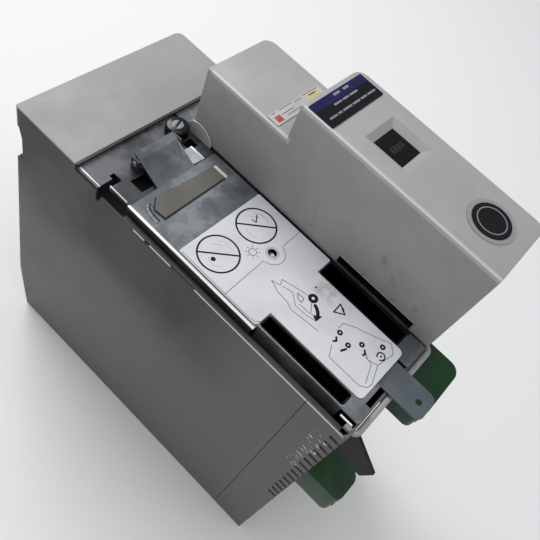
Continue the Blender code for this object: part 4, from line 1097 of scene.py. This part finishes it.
@dataclass
class SwingPanel:
    """The swing-up service panel with its finger wells, guide pin and sliding tab."""

    edge: float = 0.3
    # How deep a strip is let into the face that carries it.
    let_in: float = 0.1

    def build(self) -> None:
        """Build the panel and what it carries."""
        refine("swing_panel", Body.PANEL, "galvanised_steel", Palette.ZINC_SHEET, self.edge)
        for node in ("finger_well_left", "finger_well_right"):
            refine(node, Body.PANEL, "black_plastic", Palette.BLACK_NYLON, 0.25)
        refine("tab_guide_pin", Body.PANEL, "zinc_plated_steel", Palette.BRIGHT_STEEL, 0.1)
        refine("locking_tab", Body.TAB, "zinc_plated_steel", Palette.TAB_STEEL, 0.2)
        refine("panel_label", Body.PANEL, "white_film", Palette.WHITE_FILM, 0.0)
        self.paint_fold_light_and_shade()
        self.press_pad()
        self.line_wells()
        PanelLabel().build()

    def paint_fold_light_and_shade(self) -> None:
        """The panel's folds as strips of painted highlight, the facet beside the hood in paler zinc
        as painted light, and a dark strip of painted shade on the flange.
        """
        panel = Datum.of("swing_panel")
        face = self.face_height()
        x, y = panel.high.x, panel.low.y
        # Painted highlight: near-white strips along the folds.
        bright = Workpiece()
        # Each fold: how far in from the right edge, how far along, how far over the face, its edge.
        for inside, along, over, edge in (
            ((2.1, 0.02), (22.5, 129.5), (-1.2, 0.12), 0.5),
            ((2.2, 1.5), (5.0, 20.5), (-0.9, 0.1), 0.3),
            ((66.3, 64.9), (10.0, 22.5), (-0.2, 0.45), 0.3),
            ((1.2, 0.05), (198.0, 207.0), (-0.9, 0.1), 0.3),
        ):
            low, high = ((x - inside[end], y + along[end], face + over[end]) for end in (0, 1))
            bright.block(low, high, edge=edge)
        bright.done("panel_fold_highlights", Body.PANEL, "galvanised_steel", Palette.PAINTED_HIGHLIGHT)
        # Painted light: the facet beside the hood is paler zinc for the light it catches.
        facet = Workpiece()
        corners = ((64.9, 22.5), (56.0, 22.0), (56.0, 9.5), (64.9, 10.0))
        facet.plate([panel.spot(*corner) for corner in corners], face - self.let_in, 0.4)
        facet.done("panel_facet", Body.PANEL, "galvanised_steel", Palette.PALE_ZINC, edge=0.15)
        # Painted shade: a dark strip along the flange's outside, where the flange lies in shade.
        shade_strip = Workpiece()
        shade_strip.block(
            (x - 0.05, y + 24.0, panel.low.z + 0.4),
            (x + 0.25, Datum.of("finger_well_right").low.y - 2.0, face - 1.3),
            edge=0.08,
        )
        shade_strip.done("flange_shade_strip", Body.PANEL, "black_plastic", Palette.SHADOW_NYLON)
        dot = Workpiece()
        dot.drum((*panel.spot(50.4, 21.9), face - self.let_in), 0.9, 0.14, sides=16)
        dot.done("panel_pin_hole", Body.PANEL, "black_plastic", Palette.BLACK_NYLON)

    def face_height(self) -> float:
        """The height of the panel's face, which is the underside of its label."""
        return Datum.of("panel_label").low.z

    def press_pad(self) -> None:
        """The pad, brownish grey as painted reflection, on a dark skirt of painted shade, with a
        painted highlight on its far fold and two beads painted as highlight and shade.
        """
        spot = Datum.of("panel_label").spot
        floor = self.face_height() - self.let_in
        places = ((8.7, -30.2), (9.5, -21.9), (62.5, -22.6), (61.5, -33.6), (15.5, -36.6))
        corners = [spot(*place) for place in places]
        middle_x, middle_y = (sum(values) / 5 for values in zip(*corners))
        wide = [
            (x + (0.9 if x > middle_x else -0.2), y + (0.9 if y > middle_y else -0.3))
            for x, y in corners
        ]
        shade_skirt, pad, fold = Workpiece(), Workpiece(), Workpiece()
        # Painted shade: a dark skirt round the pad stands for its shaded sides.
        shade_skirt.plate(wide, floor, 0.25)
        shade_skirt.done("pad_shade_skirt", Body.PANEL, "black_plastic", Palette.SHADOW_NYLON)
        # The pad's top is brownish grey as a painted reflection.
        pad.plate(corners, floor, 0.7)
        pad.done("pressed_pad", Body.PANEL, "galvanised_steel", Palette.PAD_REFLECTION, edge=0.15)
        # Painted highlight: a near-white strip on the fold beyond the pad's far end.
        far = ((63.4, -33.2), (63.6, -22.4), (65.3, -22.6), (65.1, -33.4))
        fold.plate([spot(*place) for place in far], floor, 0.6)
        fold.done("pad_fold_highlight", Body.PANEL, "galvanised_steel", Palette.PAINTED_HIGHLIGHT, edge=0.25)
        # The two beads are painted, the outer one pale as highlight and the inner one dark as
        # shade.
        for inset, finish, name in (
            (0.0, Palette.PALE_ZINC, "pad_bead_highlight"),
            (2.0, Palette.FLANGE_SHEET, "pad_bead_shade"),
        ):
            bead = Workpiece()
            bend = ((6.0, -34.6), (4.6, -32.0), (3.6, -27.0), (3.4, -22.5))
            line = [spot(9.3, -34.9), *(spot(a + inset, b) for a, b in bend)]
            bead.stroke(line, 0.7, floor, 0.25)
            bead.done(name, Body.PANEL, "galvanised_steel", finish)

    def line_wells(self) -> None:
        """The seal along the panel's far edge, and the worn rim of the right finger slot."""
        panel, label = Datum.of("swing_panel"), Datum.of("panel_label")
        right, left = Datum.of("finger_well_right"), Datum.of("finger_well_left")
        face = self.face_height()
        floor, start = face - self.let_in, panel.low.x + 0.1
        seal = Workpiece()
        turn = left.low.y - 1.5
        seal.block((start, panel.low.y + 22.0, floor), (label.low.x - 0.1, turn, face + 0.15))
        seal.block((start, turn, floor), (left.low.x + 1.1, left.high.y + 1.0, face + 0.2))
        seal.done("panel_edge_seal", Body.PANEL, "black_plastic", Palette.BLACK_NYLON)
        rim = Workpiece()
        x = right.high.x + 0.9
        line = [
            (x - 2.5, right.low.y - 1.2),
            (x - 0.4, right.low.y - 0.8),
            (x, right.low.y + 1.2),
            (x, right.high.y - 1.5),
            (x - 1.2, right.high.y + 1.0),
        ]
        rim.stroke(line, 0.5, floor, 0.3)
        rim.done("well_worn_rim", Body.PANEL, "galvanised_steel", Palette.PALE_ZINC)


@dataclass
class PanelLabel:
    """The panel's printed film: ring signs, a lamp sign, open outlines and step marks.

    A place on the label is a pair of millimetres, from its +X edge and from its -Y edge.
    """

    ink: float = 0.05
    ring_radius: float = 13.3
    ring_line: float = 1.15
    fine: float = 0.4
    # The ring signs' middles, each with the slant of its bar in degrees.
    rings: tuple[tuple[Point, float], ...] = (((17.5, 16.4), 45.4), ((52.2, 16.4), 45.6))
    lamp_hole: Point = (45.2, 36.9)

    def build(self) -> None:
        """Print the black marks and then the grey ones."""
        label = Datum.of("panel_label")
        self.floor = label.high.z
        self.spot = label.spot
        self.print_black()
        self.print_grey()
        self.ring_lamp()

    def lines(self, work: Workpiece, places: Sequence[Point], width: float) -> None:
        """Print a line through places on the label.

        Args:
            work: The workpiece that takes it.
            places: The places.
            width: The line's width.
        """
        work.stroke([self.spot(a, b) for a, b in places], width, self.floor, self.ink)

    def print_black(self) -> None:
        """The bold rings, step marks and arrows."""
        work = Workpiece()
        half = self.ring_line / 2
        for (across, along), angle in self.rings:
            centre = (*self.spot(across, along), self.floor)
            work.washer(centre, self.ring_radius + half, self.ring_radius - half, self.ink)
            turn = math.radians(angle)
            a, b = self.ring_radius * math.sin(turn), self.ring_radius * math.cos(turn)
            bar = [(across - a, along - b), (across + a, along + b)]
            self.lines(work, bar, self.ring_line)
        for across, along, size in (
            *((12.2, 17.0, 1.6), (57.4, 12.1, 0.5)),
            *((49.1, 71.2, 0.7), (44.9, 128.5, 0.7)),
        ):
            work.drum((*self.spot(across, along), self.floor), size, self.ink, sides=12)
        work.washer((*self.spot(41.6, 75.1), self.floor), 3.3, 1.1, self.ink, 24)
        for place in ((37.0, 101.2), (34.4, 109.9), (41.6, 115.5), (50.8, 125.5)):
            work.washer((*self.spot(*place), self.floor), 1.9, 0.6, self.ink, 16)
        for width, places in (
            (0.7, [(58.4, 11.0), (53.9, 14.6), (53.2, 11.4)]),
            (2.3, [(38.8, 79.2), (37.9, 81.4), (36.4, 83.4), (34.4, 85.0)]),
            (0.9, [(52.6, 89.1), (44.9, 89.7), (49.1, 95.6), (52.6, 89.1)]),
            (1.3, [(51.5, 91.8), (50.0, 93.8)]),
            (1.3, [(32.8, 101.6), (31.0, 103.2), (29.4, 102.0)]),
            (1.4, [(31.4, 110.6), (28.2, 109.2)]),
            (1.3, [(40.0, 119.0), (38.2, 120.8), (36.6, 120.2)]),
        ):
            self.lines(work, places, width)
        head = [self.spot(*place) for place in ((32.6, 82.4), (30.6, 86.6), (36.6, 87.0))]
        work.plate(head, self.floor, self.ink)
        turned = work.arc(self.spot(44.9, 128.5), 2.6, 20.0, 320.0, 14)
        work.stroke(turned, 0.9, self.floor, self.ink)
        work.done("label_black_print", Body.PANEL, "white_film", Palette.BLACK_INK)

    def print_grey(self) -> None:
        """The fine outlines: divider, lamp sign, open hand-tool outline and box outline."""
        work, faint = Workpiece(), Workpiece()
        floor = self.floor
        dome = work.arc(self.spot(*self.lamp_hole), 8.6, 8.0, 176.0, 20)
        work.stroke(dome, self.fine, floor, self.ink)
        x, y = self.spot(35.6, 28.6)
        work.washer((x, y, floor), 2.7, 2.25, self.ink, 24)
        for ray in range(8):
            turn = math.pi * ray / 4
            ends = [(x + r * math.cos(turn), y + r * math.sin(turn)) for r in (3.5, 4.9)]
            work.stroke(ends, self.fine, floor, self.ink)
        self.lines(work, [(1.0, 2.0), (0.8, 58.0), (1.6, 62.5), (4.0, 64.5)], 0.35)
        nail = ((36.6, 66.4), (36.8, 71.4), (33.6, 72.2), (33.6, 69.0), (36.6, 66.4))
        self.lines(work, nail, 0.5)
        for places in (
            ((0.6, 38.4), (36.6, 37.3)),
            ((55.1, 37.7), (71.6, 37.3)),
            (
                *((30.2, 49.9), (32.0, 55.6), (36.0, 53.6), (39.6, 66.8)),
                *((40.6, 72.0), (38.4, 76.6), (33.0, 80.5)),
            ),
            ((30.2, 49.9), (27.2, 58.0), (26.8, 66.0), (24.6, 71.0), (25.8, 80.5), (27.0, 91.0)),
            ((32.5, 57.0), (34.5, 64.0), (31.8, 67.4), (28.8, 71.0), (29.4, 80.0), (31.0, 86.0)),
            ((31.6, 72.0), (31.9, 79.5), (33.0, 84.0)),
            (
                *((26.5, 103.0), (19.3, 106.7), (19.4, 130.5), (22.4, 134.6)),
                *((26.0, 135.4), (38.7, 130.6), (52.0, 133.0), (57.2, 128.1)),
                *((50.2, 112.5), (47.6, 105.5), (43.6, 98.7), (38.6, 98.7)),
            ),
            ((38.7, 130.6), (36.6, 124.0), (39.2, 120.8)),
            ((23.6, 132.4), (36.0, 127.4), (37.2, 122.0)),
        ):
            self.lines(work, places, self.fine)
        work.done("label_grey_print", Body.PANEL, "white_film", Palette.GREY_INK)
        for place, _ in self.rings:
            x, y = self.spot(*place)
            left = faint.arc((x - 2.0, y - 1.0), 7.2, 150.0, 235.0, 8)
            right = faint.arc((x + 1.5, y + 2.0), 6.8, -40.0, 50.0, 8)
            cross = [(x - 6.0, y - 3.5), (x - 1.5, y - 8.0)]
            for line, width in ((left, 0.4), (right, 0.4), (cross, 0.5)):
                faint.stroke(line, width, floor, self.ink)
        faint.done("label_faint_print", Body.PANEL, "white_film", Palette.FAINT_INK)

    def ring_lamp(self) -> None:
        """The eyelet round the charge lamp's hole, and the lamp's lens."""
        eyelet, lens = Workpiece(), Workpiece()
        hole = (*self.spot(*self.lamp_hole), self.floor)
        eyelet.washer(hole, 4.7, 3.0, self.ink * 1.4, 32)
        eyelet.done("label_lamp_eyelet", Body.PANEL, "white_film", Palette.STRIP_FILM)
        pipe = Datum.of("charge_light_pipe")
        x, y = pipe.middle()
        lens.drum((x - 0.5, y + 0.9, pipe.high.z), 1.5, 0.7, sides=24, top=0.8)
        lens.done("charge_lamp_lens", Body.HOUSING, "clear_acrylic", Palette.LENS)


@dataclass
class ControlPod:
    """The moulded pod with its plates, display and connector."""

    rounding: float = 1.6
    ink: float = 0.05

    def build(self) -> None:
        """Build the mouldings and the parts in them."""
        self.mould_cover()
        for node in ("pod_base", "badge", "side_guard", "display_module", "io_connector"):
            refine(node, Body.HOUSING, "black_plastic", Palette.BLACK_NYLON, 0.2)
        refine("display_window", Body.HOUSING, "smoked_window", Palette.SMOKED, 0.15)
        refine("charge_light_pipe", Body.HOUSING, "clear_acrylic", Palette.CLEAR, 0.15)
        refine("pod_strip_label", Body.HOUSING, "white_film", Palette.STRIP_FILM, 0.0)
        refine("name_plate", Body.HOUSING, "dark_film", Palette.DARK_FILM, 0.0)
        self.print_plate()
        self.print_strip()
        self.light_display()
        self.ring_badge()
        self.edge_relief()

    def mould_cover(self) -> None:
        """The cover's outer top edges are softly rounded."""
        box = Datum.of("pod_cover")
        step = Datum.of("pod_strip_label").low.z
        near_level, near_side = 0.6, 0.8

        def outer_top(middle: Vector, way: Vector) -> bool:
            """True for a level edge of the top or the step that runs along the pod's outside."""
            top = abs(middle.z - box.high.z) < near_level
            level = top or abs(middle.z - step) < near_level
            outside = middle.x > box.high.x - near_side or middle.x < box.low.x + near_side
            across = abs(way.x) > 0.9 and top and middle.y > box.high.y - near_side
            return level and ((abs(way.y) > 0.9 and outside) or across)

        cover = Workpiece().take("pod_cover").soften(outer_top, self.rounding)
        cover.done(
            "pod_cover_shown", Body.HOUSING, "pod_plastic", Palette.POD_ABS, ["pod_cover"], 0.35
        )

    def print_plate(self) -> None:
        """The name plate's blue band and its rows of plain bars."""
        plate = Datum.of("name_plate")
        top = plate.high.z
        band, marks = Workpiece(), Workpiece()
        band.block((plate.low.x, plate.low.y, top), (plate.high.x, plate.low.y + 6.2, top + 0.04))
        band.done("plate_blue_band", Body.HOUSING, "dark_film", Palette.BLUE_INK)
        for along, height, bars in (
            (2.3, 1.7, ((20.9, 26.9), (30.2, 35.4))),
            (7.8, 1.3, ((15.2, 22.0), (23.0, 29.0), (30.0, 37.6))),
            (
                *(13.6, 1.4),
                ((4.0, 11.0), (12.0, 15.5), (16.5, 25.0), (26.0, 33.0), (34.0, 40.0), (41.0, 48.6)),
            ),
        ):
            y = plate.low.y + along
            for start, end in bars:
                low = (plate.high.x - end, y - height / 2, top + 0.04)
                marks.block(low, (plate.high.x - start, y + height / 2, top + 0.08))
        marks.done("plate_pale_bars", Body.HOUSING, "dark_film", Palette.PALE_INK)

    def print_strip(self) -> None:
        """The step's strip label: a red patch, an outlined pale yellow patch and thin rules."""
        strip = Datum.of("pod_strip_label")
        top, x, y = strip.high.z, strip.high.x, strip.low.y
        red, yellow, dark = Workpiece(), Workpiece(), Workpiece()
        red.block((x - 7.6, y + 3.4, top), (x - 2.6, y + 8.2, top + self.ink), edge=0.02)
        red.done("strip_red_patch", Body.HOUSING, "white_film", Palette.RED_INK)
        yellow.block((x - 47.0, y + 1.6, top), (x - 34.0, y + 7.6, top + self.ink), edge=0.02)
        yellow.done("strip_yellow_patch", Body.HOUSING, "white_film", Palette.YELLOW_INK)
        for start, end, along in (
            *((3.0, 6.5, 1.0), (10.0, 22.0, 0.9), (24.0, 31.0, 1.6)),
            *((33.0, 48.0, 0.9), (9.0, 20.0, 4.4), (12.0, 26.0, 6.6)),
        ):
            low = (x - end, y + along - 0.25, top)
            dark.block(low, (x - start, y + along + 0.25, top + self.ink))
        dark.block((x - 44.0, y + 2.4, top + self.ink), (x - 37.0, y + 3.4, top + 0.08))
        dark.done("strip_dark_rules", Body.HOUSING, "white_film", Palette.GREY_INK)

    def light_display(self) -> None:
        """The display's four dim characters, each a plain pair of open cells."""
        window = Datum.of("display_window")
        top = window.high.z
        cells = Workpiece()
        middle_x, middle_y = window.middle()
        for index in range(4):
            x, y = middle_x - 4.8 + index * 3.2, middle_y - 2.0
            for lift in (0.0, 2.1):
                for low, high in (
                    ((x - 0.7, y + lift), (x + 0.7, y + lift + 0.3)),
                    ((x - 0.8, y + lift + 0.3), (x - 0.5, y + lift + 2.1)),
                    ((x + 0.5, y + lift + 0.3), (x + 0.8, y + lift + 2.1)),
                ):
                    cells.block((*low, top), (*high, top + 0.04))
        cells.done("display_cells", Body.HOUSING, "smoked_window", Palette.DIM_GLOW)

    def ring_badge(self) -> None:
        """The badge is a plain disc with a thin pale ring, on a slightly darker seat."""
        badge = Datum.of("badge")
        x, y = badge.middle()
        ring, seat = Workpiece(), Workpiece()
        ring.washer((x, y, badge.high.z), 9.6, 8.9, 0.04, 48)
        ring.done("badge_pale_ring", Body.HOUSING, "black_plastic", Palette.PALE_INK)
        seat.washer((x, y, badge.low.z), 15.5, 12.6, 0.06, 48)
        seat.done("badge_seat", Body.HOUSING, "pod_plastic", Palette.HALO_ABS)

    def edge_relief(self) -> None:
        """The pale edge over the finger relief in the pod's side."""
        pod, well = Datum.of("pod_cover"), Datum.of("finger_well_left")
        work = Workpiece()
        z = Datum.of("panel_label").low.z + 8.0
        low = (pod.high.x - 0.4, well.low.y + 1.0, z - 0.5)
        work.block(low, (pod.high.x + 0.3, well.high.y - 1.0, z + 0.2), edge=0.2)
        work.done("relief_pale_edge", Body.HOUSING, "pod_plastic", Palette.POD_ABS)


@dataclass
class PlugEnd:
    """The pluggable power connectors and their headers."""

    edge: float = 0.5
    frame: float = 0.6

    def build(self) -> None:
        """Build the headers and the plugs."""
        for node in ("plug_header_narrow", "plug_header_wide"):
            refine(node, Body.HOUSING, "black_plastic", Palette.BLACK_NYLON, 0.2)
        for node, body in (
            ("power_plug_narrow", Body.PLUG_NARROW),
            ("power_plug_wide", Body.PLUG_WIDE),
        ):
            refine(node, body, "green_plastic", Palette.GREEN_NYLON, self.edge)
        self.wire_entries("power_plug_wide", Body.PLUG_WIDE, 6)
        self.wire_entries("power_plug_narrow", Body.PLUG_NARROW, 4)

    def wire_entries(self, node: str, body: Body, ways: int) -> None:
        """Square wire entries in a plug's end, each under the slotted head of its clamp screw.

        Args:
            node: The plug's node.
            body: The plug's body.
            ways: How many wires it takes.
        """
        box = Datum.of(node)
        pitch = (box.high.x - box.low.x - 6.0) / ways
        half = min(pitch, 8.0) * 0.6 / 2
        wide = half + self.frame
        end, middle = box.high.y, (box.low.z + box.high.z) / 2
        z, top = middle - 3.5, middle + 6.0
        holes, frames, heads = Workpiece(), Workpiece(), Workpiece()
        for way in range(ways):
            x = box.low.x + 3.0 + pitch * (way + 0.5)
            holes.block((x - half, end - 0.1, z - half), (x + half, end + 0.05, z + half))
            for left, right, low, high in (
                (-wide, wide, half, wide),
                (-wide, wide, -wide, -half),
                (-wide, -half, -half, half),
                (half, wide, -half, half),
            ):
                frames.block((x + left, end - 0.2, z + low), (x + right, end + 0.3, z + high))
            heads.drum((x, end - 0.1, top), 2.1, 0.3, Way.ALONG, 20, edge=0.1)
            holes.block((x - 0.3, end + 0.19, top - 1.9), (x + 0.3, end + 0.24, top + 1.9))
        holes.done(node + "_wire_holes", body, "green_plastic", Palette.BLACK_NYLON)
        frames.done(node + "_wire_frames", body, "green_plastic", Palette.GREEN_NYLON)
        heads.done(node + "_clamp_screws", body, "zinc_plated_steel", Palette.BRIGHT_STEEL)


@dataclass
class Internals:
    """What the housing hides: heat sink, boards, capacitors, bus bars, brackets and fans."""

    def build(self) -> None:
        """Finish the hidden parts and round the fans."""
        for node in ("fan_frame_left", "fan_frame_right"):
            refine(node, Body.HOUSING, "black_plastic", Palette.BLACK_NYLON, 0.2)
        refine("fan_rotor_left", Body.FAN_LEFT, "black_plastic", Palette.BLACK_NYLON, 0.0)
        refine("fan_rotor_right", Body.FAN_RIGHT, "black_plastic", Palette.BLACK_NYLON, 0.0)
        refine("inner_shield", Body.HOUSING, "galvanised_steel", Palette.ZINC_SHEET, 0.2)
        hidden = {
            Palette.ALUMINIUM: ("heat_sink",),
            Palette.BOARD: ("control_board", "driver_board", "power_board"),
            Palette.COPPER: ("bus_bar_negative", "bus_bar_positive"),
            Palette.ZINC_SHEET: ("board_bracket_left", "board_bracket_right"),
            Palette.BRIGHT_STEEL: tuple(f"board_standoff_{number}" for number in range(1, 5)),
            Palette.SLEEVE: tuple(f"bus_capacitor_{number}" for number in range(1, 5)),
            Palette.CASE: ("power_module",),
        }
        for finish, nodes in hidden.items():
            for node in nodes:
                repaint(node, finish)


@dataclass
class Studio:
    """A plain pale floor, soft light and the camera."""

    lens: float = 43.396
    sensor: float = 36.0
    shift: Point = (-0.0224, 0.0069)
    eye: tuple[float, float, float] = (0.2456, 0.1011, 0.5811)
    right: tuple[float, float, float] = (-0.63666, 0.71404, 0.29123)
    down: tuple[float, float, float] = (0.53131, 0.67988, -0.50544)
    forward: tuple[float, float, float] = (-0.55890, -0.16706, -0.81223)
    floor_half: float = 8000.0

    def build(self) -> None:
        """Lay the floor, hang the lights and set the camera."""
        self.lay_floor()
        self.hang_light("key_light", (-0.35, -1.15, 1.5), 0.9, 16.0)
        self.hang_light("top_light", (0.1, 0.3, 2.0), 1.6, 11.0)
        self.light_room()
        self.set_camera()

    def lay_floor(self) -> None:
        """Lay the floor under the module."""
        mesh = bpy.data.meshes.new("floor")
        bm = bmesh.new()
        bmesh.ops.create_grid(bm, x_segments=1, y_segments=1, size=self.floor_half * MM)
        bm.to_mesh(mesh)
        bm.free()
        paper = Finish("matt_white_floor", "#ffffff", 0.9)
        mesh.materials.append(paper.build())
        floor = bpy.data.objects.new("floor", mesh)
        bpy.context.scene.collection.objects.link(floor)

    def hang_light(self, name: str, place: Sequence[float], size: float, power: float) -> None:
        """Hang a square soft light aimed at the module.

        Args:
            name: The light's name.
            place: Where it hangs, in metres.
            size: Its side in metres.
            power: Its power in watts.
        """
        data = bpy.data.lights.new(name, "AREA")
        data.shape = "SQUARE"
        data.size = size
        data.energy = power
        lamp = bpy.data.objects.new(name, data)
        bpy.context.scene.collection.objects.link(lamp)
        aim = Vector((0.0, 0.0, 0.15)) - Vector(place)
        turn = aim.to_track_quat("-Z", "Y").to_matrix().to_4x4()
        lamp.matrix_world = Matrix.Translation(place) @ turn

    def light_room(self) -> None:
        """Give the room a soft grey light."""
        world = bpy.data.worlds.new("room")
        world.use_nodes = True
        back = world.node_tree.nodes["Background"]
        back.inputs["Color"].default_value = linear("#e9ebee")
        back.inputs["Strength"].default_value = 0.36
        bpy.context.scene.world = world
        bpy.context.scene.view_settings.view_transform = "Standard"

    def set_camera(self) -> None:
        """Set the camera where the module is looked at from."""
        data = bpy.data.cameras.new("camera")
        data.sensor_width = self.sensor
        data.lens = self.lens
        data.shift_x, data.shift_y = self.shift
        data.clip_start = 0.01
        camera = bpy.data.objects.new("camera", data)
        bpy.context.scene.collection.objects.link(camera)
        rows = (self.right, [-v for v in self.down], [-v for v in self.forward])
        turn = Matrix(rows).transposed().to_4x4()
        camera.matrix_world = Matrix.Translation(self.eye) @ turn
        bpy.context.scene.camera = camera


def main() -> None:
    """Build the module's pieces in order."""
    logging.basicConfig(level=logging.INFO, format="%(name)s: %(message)s")
    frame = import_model()
    FRAME_NODES.update(frame["nodes"])
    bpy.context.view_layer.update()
    for part in (
        Studio(),
        Housing(),
        HingeBay(),
        SwingPanel(),
        ControlPod(),
        PlugEnd(),
        Internals(),
    ):
        LOG.info("building %s", type(part).__name__)
        part.build()


if __name__ == "__main__":
    main()
